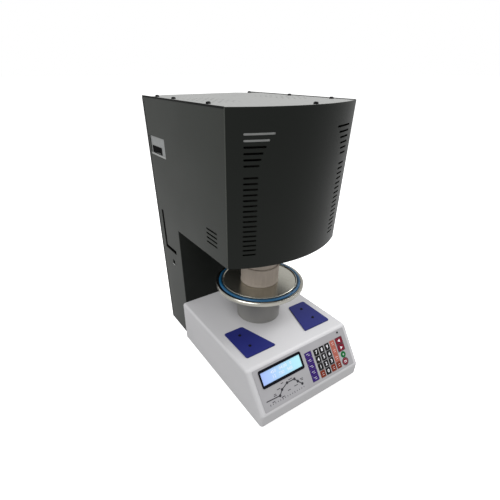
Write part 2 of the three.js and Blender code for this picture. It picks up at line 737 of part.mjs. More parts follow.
const across = spaced(
  [DISPLAY_WIDTH, FUNCTION_WIDTH, ...repeated(KEY_WIDTH, COLUMN_COUNT), ARROW_WIDTH],
  [DISPLAY_LEFT, DISPLAY_GAP, FUNCTION_GAP, ...repeated(KEY_GAP_X, COLUMN_COUNT - 1), ARROW_GAP, ARROW_RIGHT],
  -OVERLAY_HALF,
  2 * OVERLAY_HALF,
);
const [displayColumn, functionColumn, ...keyColumns] = across;
const arrowColumn = keyColumns.pop();
const functionRows = rowsDown(FUNCTION_HEIGHT, FUNCTION_COUNT, FUNCTION_ABOVE, FUNCTION_GAP_Y, FUNCTION_BELOW);
const keyRows = rowsDown(KEY_HEIGHT, ROW_COUNT, KEY_ABOVE, KEY_GAP_Y, KEY_BELOW);
const [displayRow] = rowsDown(DISPLAY_HEIGHT, 1, DISPLAY_ABOVE, 0, DISPLAY_BELOW);

// Keys: five function keys, ten digits, six side keys, up and down, start and stop
function keyAt(name, column, row, material, round = false) {
  return { name, x: column.middle, y: row.middle, size: [column.size, row.size], round, material };
}

function keyTable() {
  const grid = [
    [["key_7", keyBlack], ["key_8", keyBlack], ["key_9", keyBlack], ["key_side_1", keySalmon]],
    [["key_4", keyBlack], ["key_5", keyBlack], ["key_6", keyBlack], ["key_side_2", keySalmon]],
    [["key_1", keyBlack], ["key_2", keyBlack], ["key_3", keyBlack], ["key_side_3", keySalmon]],
    [["key_back", keyOrange], ["key_0", keyBlack], ["key_next", keyOrange], ["key_enter", keyOrange]],
  ];
  const last = [["key_up", keyMaroon], ["key_down", keyMaroon], ["key_start", keyGreen], ["key_stop", keyRed]];
  return [
    ...functionRows.map((row, i) => keyAt(`key_function_${i + 1}`, functionColumn, row, keyPurple)),
    ...grid.flatMap((names, i) =>
      names.map(([name, material], j) => keyAt(name, keyColumns[j], keyRows[i], material)),
    ),
    ...last.map(([name, material], i) => keyAt(name, arrowColumn, keyRows[i], material, i > 1)),
  ];
}
const keys = keyTable();

function roundRadius(key) {
  return key.size[1] / 2 + ROUND_KEY_GROWTH;
}

function keyCorners(key, grow) {
  if (key.round) return circle(key.x, key.y, roundRadius(key) + grow, ROUND_KEY_SIDES);
  const [width, height] = key.size;
  return rectangle(key.x, key.y, width + 2 * grow, height + 2 * grow, KEY_RADIUS);
}

// Display: a black frame through the panel, round the lit screen
const DISPLAY_RADIUS = 4.5;
const DISPLAY_SIDE = 5;
const DISPLAY_BAND = 6.5;
const DISPLAY_PROUD = 2.2;
const SCREEN_LEVEL = 0.6;

// Overlay and board levels, from the outer face of the sloped panel
const OVERLAY = 0.9;
const BOARD_TOP = -4.3;
const BOARD = 1.6;
const BOARD_SIDE_INSET = 4;
const BOARD_TOP_INSET = 2.5;
const BOARD_LOW_INSET = 3;
const BOARD_HALF = OVERLAY_HALF - BOARD_SIDE_INSET;
const BOARD_TOP_Y = OVERLAY_TOP_Y - BOARD_TOP_INSET;
const BOARD_BOTTOM_Y = OVERLAY_BOTTOM_Y + BOARD_LOW_INSET;
const BOARD_STUD_RADIUS = 3;
const BOARD_STUD_SIDES = 8;
const BOARD_STUD_INSET = 5;
const KEY_PROUD = 0.7;
const KEY_FOOT_GAP = 0.8;
const KEY_BEVEL = 0.4;
const CUTOUT_MARGIN = 2;

function displayCorners(grow) {
  const [width, height] = [displayColumn.size + 2 * grow, displayRow.size + 2 * grow];
  return rectangle(displayColumn.middle, displayRow.middle, width, height, DISPLAY_RADIUS);
}

function keypadCorners() {
  const reach = (key, axis) => (key.round ? roundRadius(key) : key.size[axis] / 2);
  const left = Math.min(...keys.map((key) => key.x - reach(key, 0))) - CUTOUT_MARGIN;
  const right = Math.max(...keys.map((key) => key.x + reach(key, 0))) + CUTOUT_MARGIN;
  const low = Math.min(...keys.map((key) => key.y - reach(key, 1))) - CUTOUT_MARGIN;
  const high = Math.max(...keys.map((key) => key.y + reach(key, 1))) + CUTOUT_MARGIN;
  return rectangle((left + right) / 2, (low + high) / 2, right - left, high - low);
}

const GUIDE_PLAY = 0.5;
const GUIDE_WALL = 6;
const GUIDE_OUTER = COLUMN_RADIUS + GUIDE_PLAY + GUIDE_WALL;
const DECK_HOLE_CLEARANCE = 1.5;

function boardStuds() {
  const studs = [];
  for (const x of [-BOARD_HALF + BOARD_STUD_INSET, BOARD_HALF - BOARD_STUD_INSET]) {
    for (const y of [BOARD_TOP_Y - BOARD_STUD_INSET, BOARD_BOTTOM_Y + BOARD_STUD_INSET]) {
      const low = BOARD_TOP + FIT;
      const shape = outline(circle(x, y, BOARD_STUD_RADIUS, BOARD_STUD_SIDES));
      studs.push(onPanel(shape, low, -BASE_WALL / 2 - low));
    }
  }
  return studs;
}

function baseShell() {
  const outer = baseBlock(0, -BASE_REAR + BASE_EDGE_RADIUS + OVERRUN);
  const inner = baseBlock(BASE_WALL, -BASE_REAR + BASE_EDGE_RADIUS + 2 * OVERRUN);
  const keep = block(
    [-BASE_WIDTH, -2 * BASE_REACH, FOOT_HEIGHT],
    [BASE_WIDTH, -BASE_REAR, 2 * DECK_HEIGHT],
  );
  const depth = BASE_WALL + 2 * OVERRUN;
  const windows = [displayCorners(FIT), keypadCorners()].map((corners) =>
    onPanel(outline(corners), -BASE_WALL - OVERRUN, depth),
  );
  const well = turned(
    [
      [0, DECK_HEIGHT - BASE_WALL - OVERRUN],
      [GUIDE_OUTER + DECK_HOLE_CLEARANCE, DECK_HEIGHT - BASE_WALL - OVERRUN],
      [GUIDE_OUTER + DECK_HOLE_CLEARANCE, DECK_HEIGHT + OVERRUN],
      [0, DECK_HEIGHT + OVERRUN],
    ],
    0,
    LIFT_AXIS_Y,
    SMALL_STEPS,
  );
  const shell = cut(outer.intersect(keep), inner, ...windows, solidOf(well));
  return geometryOf(joined(shell, ...boardStuds()));
}
placed("base_shell", baseShell(), whitePaint, furnace);

// Base pan: closes base and column below
const PAN_SLOT_LENGTH = 60;
const PAN_SLOT_WIDTH = 5;
const PAN_SLOT_PITCH = 14;
const PAN_SLOT_COUNT = 6;
const PAN_SLOT_BACK = 107;
const PAN_SLOT_INSET = 90;

function basePan() {
  const wide = BASE_HALF - BASE_WALL - FIT;
  const front = -(BASE_REACH - BASE_WALL - FIT);
  const shape = outline([
    [-PLATE_EDGE, -REAR_INSIDE],
    [-PLATE_EDGE, -BASE_REAR],
    [-wide, -BASE_REAR],
    [-wide, front, BASE_EDGE_RADIUS],
    [wide, front, BASE_EDGE_RADIUS],
    [wide, -BASE_REAR],
    [PLATE_EDGE, -BASE_REAR],
    [PLATE_EDGE, -REAR_INSIDE],
  ]);
  for (const side of [-1, 1]) {
    for (let i = 0; i < PAN_SLOT_COUNT; i += 1) {
      const y = PAN_SLOT_BACK - BASE_REACH + (i - (PAN_SLOT_COUNT - 1) / 2) * PAN_SLOT_PITCH;
      const slot = rectangle(side * (BASE_HALF - PAN_SLOT_INSET), y, PAN_SLOT_LENGTH, PAN_SLOT_WIDTH);
      shape.holes.push(hole(slot));
    }
  }
  return extruded(shape, PAN_SHEET).translate(0, 0, FOOT_HEIGHT);
}
placed("base_pan", basePan(), bareSheet, furnace);

// Feet: four turned rubber buffers under the pan
const FOOT_RADIUS = 12;
const FOOT_TAPER = 2;
const FOOT_FRONT_INSET_X = 35;
const FOOT_FRONT_INSET_Y = 37;
const FOOT_REAR_INSET_X = 25;
const FOOT_REAR_INSET_Y = 40;

function foot(x, y) {
  const profile = [
    [0, 0],
    [FOOT_RADIUS - FOOT_TAPER, 0],
    [FOOT_RADIUS, FOOT_HEIGHT - FIT],
    [0, FOOT_HEIGHT - FIT],
  ];
  return turned(profile, x, y, SMALL_STEPS);
}
const frontFootX = BASE_HALF - FOOT_FRONT_INSET_X;
const frontFootY = FOOT_FRONT_INSET_Y - BASE_REACH;
const rearFootX = HALF - FOOT_REAR_INSET_X;
placed("foot_front_left", foot(-frontFootX, frontFootY), rubber, furnace);
placed("foot_front_right", foot(frontFootX, frontFootY), rubber, furnace);
placed("foot_rear_left", foot(-rearFootX, -FOOT_REAR_INSET_Y), rubber, furnace);
placed("foot_rear_right", foot(rearFootX, -FOOT_REAR_INSET_Y), rubber, furnace);

// Panel: overlay, display, board and keys stand in the panel's own frame
const panel = new THREE.Group();
panel.applyMatrix4(panelMatrix);
furnace.add(panel);

function overlayShape() {
  const height = OVERLAY_TOP_Y - OVERLAY_BOTTOM_Y;
  const middle = (OVERLAY_TOP_Y + OVERLAY_BOTTOM_Y) / 2;
  const shape = outline(rectangle(0, middle, 2 * OVERLAY_HALF, height, KEY_RADIUS));
  shape.holes.push(hole(displayCorners(FIT)));
  for (const key of keys) shape.holes.push(hole(keyCorners(key, FIT)));
  return shape;
}
placed("panel_overlay", extruded(overlayShape(), OVERLAY, 1).translate(0, 0, FIT), overlayGrey, panel);

function boardGeometry() {
  const height = BOARD_TOP_Y - BOARD_BOTTOM_Y;
  const shape = outline(rectangle(0, (BOARD_TOP_Y + BOARD_BOTTOM_Y) / 2, 2 * BOARD_HALF, height));
  return extruded(shape, BOARD).translate(0, 0, BOARD_TOP - BOARD);
}
placed("control_board", boardGeometry(), boardGreen, panel);

function screenCorners(inset) {
  const width = displayColumn.size - 2 * (DISPLAY_SIDE + inset);
  const height = displayRow.size - 2 * (DISPLAY_BAND + inset);
  return rectangle(displayColumn.middle, displayRow.middle, width, height);
}

function displayFrame() {
  const shape = outline(displayCorners(0));
  shape.holes.push(hole(screenCorners(0)));
  const low = BOARD_TOP + FIT;
  return extruded(shape, DISPLAY_PROUD - low, 1).translate(0, 0, low);
}
placed("display_frame", displayFrame(), blackPlastic, panel);

function displayScreen() {
  const low = BOARD_TOP + FIT;
  const shape = outline(screenCorners(FIT));
  return extruded(shape, SCREEN_LEVEL - low).translate(0, 0, low);
}
placed("display_screen", displayScreen(), litScreen, panel);

function keyCap(key) {
  const top = FIT + OVERLAY + KEY_PROUD;
  const low = BOARD_TOP + KEY_FOOT_GAP;
  const shape = outline(keyCorners({ ...key, x: 0, y: 0 }, 0));
  const geometry = new THREE.ExtrudeGeometry(shape, {
    depth: top - low - 2 * KEY_BEVEL,
    bevelEnabled: true,
    bevelThickness: KEY_BEVEL,
    bevelSize: KEY_BEVEL,
    bevelOffset: -KEY_BEVEL,
    bevelSegments: 1,
    curveSegments: 1,
  });
  return geometry.translate(0, 0, low + KEY_BEVEL);
}
for (const key of keys) {
  const mesh = placed(key.name, keyCap(key), key.material, panel);
  mesh.position.set(key.x, key.y, 0);
}

// Rest plates: blue pads for hot work, one each side of the lift, screwed to the deck
const REST_THICKNESS = 3;
const REST_LENGTH = 106;
const REST_SIDE_INSET = 26.7;
const REST_FRONT_INSET = 33.5;
const REST_REAR_INNER_SHARE = 0.593;
const REST_FRONT_INNER_SHARE = 0.357;
const REST_RADIUS = 4;
const REST_CURVE_STEPS = 5;
const REST_SCREW_SHARE = 0.7737;
const REST_SCREW_REAR = 27.5;
const REST_SCREW_FRONT = 32;
const REST_SCREW_RADIUS = 2.4;
const REST_SCREW_SIDES = 8;
const restOuter = BASE_HALF - REST_SIDE_INSET;
const restFront = REST_FRONT_INSET - CREASE_REACH;
const restRear = restFront + REST_LENGTH;

function restPlate(side) {
  const outer = side * restOuter;
  const shape = outline([
    [outer, restRear, REST_RADIUS],
    [REST_REAR_INNER_SHARE * outer, restRear, REST_RADIUS],
    [REST_FRONT_INNER_SHARE * outer, restFront, REST_RADIUS],
    [outer, restFront, REST_RADIUS],
  ]);
  for (const y of [restRear - REST_SCREW_REAR, restFront + REST_SCREW_FRONT]) {
    shape.holes.push(hole(circle(REST_SCREW_SHARE * outer, y, REST_SCREW_RADIUS, REST_SCREW_SIDES)));
  }
  return extruded(shape, REST_THICKNESS, REST_CURVE_STEPS).translate(0, 0, DECK_HEIGHT + FIT);
}
placed("left_rest_plate", restPlate(-1), bluePlastic, furnace);
placed("right_rest_plate", restPlate(1), bluePlastic, furnace);

// Lift collar: a grey turned housing on the deck, with the column's guide through it
const COLLAR_RADIUS = 60;
const COLLAR_WALL = 3;
const COLLAR_CAP = 4;
const COLLAR_CHAMFER = 2;
const GUIDE_DEPTH = 42;
const GUIDE_BOTTOM = DECK_HEIGHT - GUIDE_DEPTH;
const PLATE_BOTTOM = PLATE_TOP - PLATE_THICKNESS;
const COLLAR_TOP = PLATE_BOTTOM - FIT;

const collar = turnedRing(
  [
    [COLUMN_RADIUS + GUIDE_PLAY, GUIDE_BOTTOM],
    [GUIDE_OUTER, GUIDE_BOTTOM],
    [GUIDE_OUTER, COLLAR_TOP - COLLAR_CAP],
    [COLLAR_RADIUS - COLLAR_WALL, COLLAR_TOP - COLLAR_CAP],
    [COLLAR_RADIUS - COLLAR_WALL, DECK_HEIGHT + FIT],
    [COLLAR_RADIUS, DECK_HEIGHT + FIT],
    [COLLAR_RADIUS, COLLAR_TOP - COLLAR_CHAMFER],
    [COLLAR_RADIUS - COLLAR_CHAMFER, COLLAR_TOP],
    [COLUMN_RADIUS + GUIDE_PLAY, COLLAR_TOP],
  ],
  0,
  LIFT_AXIS_Y,
);
placed("lift_collar", collar, greyCollar, furnace);

// Lift drive: motor on the pan, screw up through the hollow column
const MOTOR_SIDE = 57;
const MOTOR_CHAMFER = 5;
const MOTOR_HEIGHT = 42;
const MOTOR_BOSS_RADIUS = 19;
const MOTOR_BOSS = 1.6;
const SCREW_RADIUS = 5;
const SCREW_HUB_RADIUS = 11;
const SCREW_HUB = 7;
const SCREW_END_GAP = 10.2;
const NUT_PLAY = 0.4;
const NUT_HEIGHT = 16;
const NUT_GAP = 3;
const COLUMN_BORE = 9;
const COLUMN_CROWN = 6;

const motorLow = PAN_TOP + FIT;
const bossTop = motorLow + MOTOR_HEIGHT + MOTOR_BOSS;

function liftMotor() {
  const square = rectangle(0, LIFT_AXIS_Y, MOTOR_SIDE, MOTOR_SIDE, MOTOR_CHAMFER);
  const body = laid(outline(square), motorLow, MOTOR_HEIGHT, 1);
  const low = motorLow + MOTOR_HEIGHT / 2;
  const profile = [[0, low], [MOTOR_BOSS_RADIUS, low], [MOTOR_BOSS_RADIUS, bossTop], [0, bossTop]];
  return geometryOf(joined(body, solidOf(turned(profile, 0, LIFT_AXIS_Y, SMALL_STEPS))));
}
placed("lift_motor", liftMotor(), deepPaint, furnace);

const screwLow = bossTop + FIT;
const columnTop = PLATE_BOTTOM - FIT;
const screwTop = columnTop - COLUMN_CROWN - SCREW_END_GAP;
const leadScrew = turned(
  [
    [0, screwLow],
    [SCREW_HUB_RADIUS, screwLow],
    [SCREW_HUB_RADIUS, screwLow + SCREW_HUB],
    [SCREW_RADIUS, screwLow + SCREW_HUB],
    [SCREW_RADIUS, screwTop],
    [0, screwTop],
  ],
  0,
  LIFT_AXIS_Y,
  SMALL_STEPS,
);
placed("lead_screw", leadScrew, satinSteel, furnace);

const nutLow = screwLow + SCREW_HUB + NUT_GAP;
const liftColumn = turned(
  [
    [0, columnTop - COLUMN_CROWN],
    [COLUMN_BORE, columnTop - COLUMN_CROWN],
    [COLUMN_BORE, nutLow + NUT_HEIGHT],
    [SCREW_RADIUS + NUT_PLAY, nutLow + NUT_HEIGHT],
    [SCREW_RADIUS + NUT_PLAY, nutLow],
    [COLUMN_RADIUS, nutLow],
    [COLUMN_RADIUS, columnTop],
    [0, columnTop],
  ],
  0,
  LIFT_AXIS_Y,
  ROUND_STEPS,
);
placed("lift_column", liftColumn, satinSteel, furnace);

// Lift plate: turned disc with a groove for the seal ring
const PLATE_CHAMFER = 1.5;
const sealOuter = SEAL_RADIUS + SEAL_CORD / 2 + FIT;
const sealInner = SEAL_RADIUS - SEAL_CORD / 2 - FIT;
const grooveFloor = PLATE_TOP - SEAL_SUNK - FIT;

const liftPlate = turned(
  [
    [0, PLATE_BOTTOM],
    [PLATE_RADIUS - 2 * PLATE_CHAMFER, PLATE_BOTTOM],
    [PLATE_RADIUS, PLATE_BOTTOM + 2 * PLATE_CHAMFER],
    [PLATE_RADIUS, PLATE_TOP - PLATE_CHAMFER],
    [PLATE_RADIUS - PLATE_CHAMFER, PLATE_TOP],
    [sealOuter, PLATE_TOP],
    [sealOuter, grooveFloor],
    [sealInner, grooveFloor],
    [sealInner, PLATE_TOP],
    [0, PLATE_TOP],
  ],
  0,
  LIFT_AXIS_Y,
);
placed("lift_plate", liftPlate, satinSteel, furnace);

// Seal ring: round silicone cord lying half sunk in the groove
const SEAL_SIDES = 8;

function sealRing() {
  const profile = [];
  const middle = grooveFloor + FIT + SEAL_CORD / 2;
  for (let i = 0; i < SEAL_SIDES; i += 1) {
    const angle = (2 * Math.PI * (i + 0.5)) / SEAL_SIDES - Math.PI / 2;
    const radius = SEAL_CORD / 2;
    profile.push([SEAL_RADIUS + radius * Math.cos(angle), middle + radius * Math.sin(angle)]);
  }
  return turnedRing(profile, 0, LIFT_AXIS_Y);
}
placed("seal_ring", sealRing(), blueSilicone, furnace);

// Mirror dish: polished plate with a raised rim, lying inside the ring
const DISH_THICKNESS = 1.6;
const DISH_RIM_RISE = 3.4;
const DISH_RIM_WIDTH = 1.4;
const DISH_FLARE = 2.4;
const dishLow = PLATE_TOP + FIT;
const dishFloor = dishLow + DISH_THICKNESS;
const dishRadius = sealInner - FIT;

const mirrorDish = turned(
  [
    [0, dishLow],
    [dishRadius, dishLow],
    [dishRadius, dishLow + DISH_RIM_RISE],
    [dishRadius - DISH_RIM_WIDTH, dishLow + DISH_RIM_RISE],
    [dishRadius - DISH_RIM_WIDTH - DISH_FLARE, dishFloor],
    [0, dishFloor],
  ],
  0,
  LIFT_AXIS_Y,
);
placed("mirror_dish", mirrorDish, mirrorSteel, furnace);

// Pedestal: refractory cylinder, and the smaller firing table on it
const PEDESTAL_CHAMFER = 1.5;
const TABLE_RIM = 6;
const TABLE_RECESS = 2;
const tableInner = TABLE_RADIUS - TABLE_RIM;
const pedestalLow = dishFloor + FIT;
const pedestalTop = pedestalLow + PEDESTAL_HEIGHT;
const tableLow = pedestalTop + FIT;
const tableTop = tableLow + TABLE_HEIGHT;

const pedestalBlock = turned(
  [
    [0, pedestalLow],
    [PEDESTAL_RADIUS, pedestalLow],
    [PEDESTAL_RADIUS, pedestalTop - PEDESTAL_CHAMFER],
    [PEDESTAL_RADIUS - PEDESTAL_CHAMFER, pedestalTop],
    [0, pedestalTop],
  ],
  0,
  LIFT_AXIS_Y,
);
placed("pedestal_block", pedestalBlock, refractory, furnace);

const firingTable = turned(
  [
    [0, tableLow],
    [TABLE_RADIUS, tableLow],
    [TABLE_RADIUS, tableTop - PEDESTAL_CHAMFER],
    [TABLE_RADIUS - PEDESTAL_CHAMFER, tableTop],
    [tableInner, tableTop],
    [tableInner - TABLE_RECESS, tableTop - TABLE_RECESS],
    [0, tableTop - TABLE_RECESS],
  ],
  0,
  LIFT_AXIS_Y,
);
placed("firing_table", firingTable, refractory, furnace);

// Vacuum chamber: steel can with a sealing flange over the mouth in the head floor
const FLANGE_THICKNESS = 6;
const FLANGE_RIM = 15;
const FLANGE_BORE_GROWTH = 3;
const CAN_WALL = 2;
const CAN_HEADROOM = 96;
const FLANGE_BORE = BORE_RADIUS + FLANGE_BORE_GROWTH;
const CAN_RADIUS = FLANGE_RADIUS - FLANGE_RIM;
const CAN_TOP = HOUSING_TOP - CAN_HEADROOM;
const flangeLow = HEAD_FLOOR + SHEET + FIT;
const flangeTop = flangeLow + FLANGE_THICKNESS;

const vacuumChamber = turned(
  [
    [0, CAN_TOP - CAN_WALL],
    [CAN_RADIUS - CAN_WALL, CAN_TOP - CAN_WALL],
    [CAN_RADIUS - CAN_WALL, flangeTop],
    [FLANGE_BORE, flangeTop],
    [FLANGE_BORE, flangeLow],
    [FLANGE_RADIUS, flangeLow],
    [FLANGE_RADIUS, flangeTop],
    [CAN_RADIUS, flangeTop],
    [CAN_RADIUS, CAN_TOP],
    [0, CAN_TOP],
  ],
  0,
  LIFT_AXIS_Y,
);
placed("vacuum_chamber", vacuumChamber, satinSteel, furnace);

// Muffle: fibre insulation with the firing chamber's bore, wider where the element hangs
const ELEMENT_NICHE = 7;
const ELEMENT_LOW_SHARE = 0.3156;
const ELEMENT_HIGH_SHARE = 0.7176;
const muffleRadius = CAN_RADIUS - CAN_WALL - FIT;
const muffleLow = flangeTop + FIT;
const muffleTop = CAN_TOP - CAN_WALL - FIT;
const elementBore = BORE_RADIUS + ELEMENT_NICHE;
const elementLow = muffleLow + ELEMENT_LOW_SHARE * (muffleTop - muffleLow);
const elementHigh = muffleLow + ELEMENT_HIGH_SHARE * (muffleTop - muffleLow);

const muffle = turned(
  [
    [0, elementHigh],
    [elementBore, elementHigh],
    [elementBore, elementLow],
    [BORE_RADIUS, elementLow],
    [BORE_RADIUS, muffleLow],
    [muffleRadius, muffleLow],
    [muffleRadius, muffleTop],
    [0, muffleTop],
  ],
  0,
  LIFT_AXIS_Y,
);
placed("muffle_insulation", muffle, fibre, furnace);

// Heating element: one wire wound in a helix against the wall of the bore
const WIRE_RADIUS = 2;
const WIRE_SIDES = 5;
const WIRE_TURNS = 5;
const WIRE_STEPS = 12;
const WIRE_WALL_GAP = 0.6;
const wireRadius = elementBore - WIRE_WALL_GAP - WIRE_RADIUS;
const wireLow = elementLow + WIRE_RADIUS + FIT;
const wireHigh = elementHigh - WIRE_RADIUS - FIT;

class Winding extends THREE.Curve {
  getPoint(share, target = new THREE.Vector3()) {
    const angle = 2 * Math.PI * WIRE_TURNS * share;
    const rise = wireLow + (wireHigh - wireLow) * share;
    return target.set(wireRadius * Math.cos(angle), wireRadius * Math.sin(angle), rise);
  }
}

function heatingCoil() {
  const section = new THREE.Shape();
  for (let i = 0; i < WIRE_SIDES; i += 1) {
    const angle = (2 * Math.PI * i) / WIRE_SIDES;
    const [x, y] = [WIRE_RADIUS * Math.cos(angle), WIRE_RADIUS * Math.sin(angle)];
    if (i === 0) section.moveTo(x, y);
    else section.lineTo(x, y);
  }
  section.closePath();
  const settings = { steps: WIRE_TURNS * WIRE_STEPS, extrudePath: new Winding(), bevelEnabled: false };
  return new THREE.ExtrudeGeometry(section, settings).translate(0, LIFT_AXIS_Y, 0);
}
placed("heating_coil", heatingCoil(), satinSteel, furnace);

// The least gap of the winding to itself, measured on points a turn or more apart
function windingGap() {
  const points = new Winding().getPoints(WIRE_TURNS * WIRE_STEPS);
  let least = Infinity;
  points.forEach((point, i) => {
    for (let j = i + WIRE_STEPS / 2; j < points.length; j += 1) {
      least = Math.min(least, point.distanceTo(points[j]));
    }
  });
  return least - 2 * WIRE_RADIUS;
}
console.log(`heating coil: least gap between turns ${windingGap().toFixed(2)} mm`);

// The origin is at the middle of the whole object's box, on the surface it stands on
furnace.children.forEach((child) => {
  child.position.y += (BASE_REACH - REAR_REACH) / 2;
});

export default furnace;
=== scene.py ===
import math

import bmesh
import bpy
from mathutils import Matrix, Vector


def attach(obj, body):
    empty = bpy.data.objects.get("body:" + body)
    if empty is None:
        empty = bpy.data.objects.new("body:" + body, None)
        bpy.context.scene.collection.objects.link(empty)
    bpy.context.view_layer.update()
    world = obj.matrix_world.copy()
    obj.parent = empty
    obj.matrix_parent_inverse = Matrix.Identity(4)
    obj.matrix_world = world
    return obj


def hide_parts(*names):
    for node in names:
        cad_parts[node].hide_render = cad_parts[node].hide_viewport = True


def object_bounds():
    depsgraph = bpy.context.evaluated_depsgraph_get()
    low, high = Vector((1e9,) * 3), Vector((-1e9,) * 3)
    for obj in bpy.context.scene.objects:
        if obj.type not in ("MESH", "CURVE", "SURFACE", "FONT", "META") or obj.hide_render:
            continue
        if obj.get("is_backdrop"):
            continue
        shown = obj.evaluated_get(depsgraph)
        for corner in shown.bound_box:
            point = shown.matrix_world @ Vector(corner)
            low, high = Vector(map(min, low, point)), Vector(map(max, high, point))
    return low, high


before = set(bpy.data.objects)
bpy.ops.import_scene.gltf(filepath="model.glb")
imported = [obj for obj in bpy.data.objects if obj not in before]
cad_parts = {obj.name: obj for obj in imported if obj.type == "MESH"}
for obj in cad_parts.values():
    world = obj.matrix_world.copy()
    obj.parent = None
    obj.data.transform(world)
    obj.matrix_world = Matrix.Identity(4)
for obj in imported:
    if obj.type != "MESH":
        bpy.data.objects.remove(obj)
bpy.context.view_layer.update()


# Side covers: folded sheet steel, powder coated in dark graphite, screwed to the frame.
# Powder coat has a faint orange peel of about a millimetre and a soft, even gloss.
MM = 0.001
REAR_SHIFT = 253.35
SHEET_ROUND = 0.25
THIN_ROUND = 0.2


def linear(hex_colour):
    """A web colour such as 4a4b48 as linear light."""
    parts = [int(hex_colour[i : i + 2], 16) / 255 for i in (0, 2, 4)]
    return (*[p / 12.92 if p <= 0.04045 else ((p + 0.055) / 1.055) ** 2.4 for p in parts], 1)


def add_node(tree, kind, sockets=None, **settings):
    """One node with its settings; a socket takes a value or another node's output."""
    node = tree.nodes.new(kind)
    for key, value in settings.items():
        setattr(node, key, value)
    for key, value in (sockets or {}).items():
        if isinstance(value, bpy.types.NodeSocket):
            tree.links.new(value, node.inputs[key])
        else:
            node.inputs[key].default_value = value
    return node


def surface(
    name, colour, second, rough, patch, grain, depth, stretch=(1, 1, 1), spread=0.05, **shader
):
    """A finish with two close colours in patches, an uneven gloss and a fine grain, in mm.

    The real grain of paint and mouldings is 0.1 to 0.5 mm wide and too fine to show, so it
    is drawn 0.5 to 2.5 mm wide.
    """
    finish = bpy.data.materials.new(name)
    finish.use_nodes = True
    tree = finish.node_tree
    tree.nodes.clear()
    where = add_node(tree, "ShaderNodeTexCoord").outputs["Object"]
    along = add_node(tree, "ShaderNodeMapping", {"Vector": where, "Scale": stretch})
    patches = add_node(
        tree,
        "ShaderNodeTexNoise",
        {"Vector": along.outputs["Vector"], "Scale": 1 / (patch * MM), "Detail": 3.0},
    )
    blend = add_node(
        tree,
        "ShaderNodeMixRGB",
        {"Fac": patches.outputs["Fac"], "Color1": linear(colour), "Color2": linear(second)},
    )
    gloss = add_node(
        tree,
        "ShaderNodeMapRange",
        {"Value": patches.outputs["Fac"], "To Min": rough - spread, "To Max": rough + spread},
    )
    fine = add_node(
        tree,
        "ShaderNodeTexNoise",
        {"Vector": along.outputs["Vector"], "Scale": 1 / (grain * MM), "Detail": 2.0},
    )
    relief = add_node(
        tree,
        "ShaderNodeBump",
        {"Height": fine.outputs["Fac"], "Distance": depth * MM, "Strength": 0.6},
    )
    body = add_node(
        tree,
        "ShaderNodeBsdfPrincipled",
        {
            "Base Color": blend.outputs["Color"],
            "Roughness": gloss.outputs["Result"],
            "Normal": relief.outputs["Normal"],
            **{key.replace("_", " "): value for key, value in shader.items()},
        },
    )
    add_node(tree, "ShaderNodeOutputMaterial", {"Surface": body.outputs["BSDF"]})
    return finish


def piece(name, shape, body, finishes, slot, *stands_for, crease=32):
    """A mesh object from a bmesh, riding on a body and standing for CAD nodes."""
    mesh = bpy.data.meshes.new(name)
    shape.to_mesh(mesh)
    shape.free()
    mesh.shade_smooth()
    mesh.set_sharp_from_angle(angle=math.radians(crease))
    for finish in finishes:
        mesh.materials.append(finish)
    made = bpy.data.objects.new(name, mesh)
    bpy.context.scene.collection.objects.link(made)
    even = made.modifiers.new("even_shading", "WEIGHTED_NORMAL")
    even.keep_sharp = True
    even.weight = 100
    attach(made, body)
    if stands_for:
        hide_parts(*stands_for)


def round_off(shape, width, segments=2, angle=30):
    """Rounds every edge that is sharper than the angle."""
    sharp = [
        edge
        for edge in shape.edges
        if len(edge.link_faces) == 2 and edge.calc_face_angle(0) > math.radians(angle)
    ]
    bmesh.ops.bevel(
        shape,
        geom=sharp,
        offset=width * MM,
        segments=segments,
        profile=0.5,
        affect="EDGES",
        material=-1,
        clamp_overlap=True,
    )
    return shape


def redressed(name, node, width, finish, slot, body="housing", segments=2, crease=32):
    """A CAD node's own mesh, merged and with rounded edges, in its finish."""
    shape = bmesh.new()
    shape.from_mesh(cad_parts[node].data)
    bmesh.ops.remove_doubles(shape, verts=shape.verts, dist=0.00002)
    bmesh.ops.dissolve_limit(
        shape, angle_limit=math.radians(1), verts=shape.verts, edges=shape.edges
    )
    round_off(shape, width, segments)
    piece(name, shape, body, [finish], slot, node, crease=crease)


graphite = surface(
    "graphite_powder_coat", "2e312d", "292c28", 0.42, 140, 1.4, 0.03, Specular_IOR_Level=0.2
)
for side in ("left", "right"):
    node = f"{side}_side_cover"
    redressed(f"{side}_cover_sheet", node, SHEET_ROUND, graphite, "graphite_paint")


# Edge strips: near-black strips along the side covers' top and rear edges.
# A rounded bead closes the corner between side and bow; its lighter grey is a painted highlight.
HEAD_FLOOR = 363
HEAD_TOP = 656
HEAD_MIDDLE = (HEAD_FLOOR + HEAD_TOP) / 2
EDGE_ROUND = 0.3
TRIM = 1.7
TRIM_REACH = 3.2
TRIM_X = 154.9
TRIM_TOP_PROUD = 0.5
TRIM_TOP_MIDDLE = -186
TRIM_TOP_LENGTH = 370
TRIM_REAR_PROUD = 0.4
TRIM_REAR_MIDDLE = 330.5
TRIM_REAR_LENGTH = 645
BEAD_X = 154.3
BEAD_Y = -371.4
BEAD_RADIUS = 1.1
BEAD_SHORTER = 1


def at(x, y, z):
    """A point in millimetres, y from the housing's rear face, in the frame's metres."""
    return Vector((x, y + REAR_SHIFT, z)) * MM


def moved_to(x, y, z):
    """The matrix that moves the origin to a point given as for at()."""
    return Matrix.Translation(at(x, y, z))


def block(shape, size, place):
    """A box of a size in mm added to shape, put in place by a matrix; returns its corners."""
    corners = bmesh.ops.create_cube(shape, size=1)["verts"]
    bmesh.ops.scale(shape, verts=corners, vec=Vector(size) * MM)
    bmesh.ops.transform(shape, matrix=place, verts=corners)
    return corners


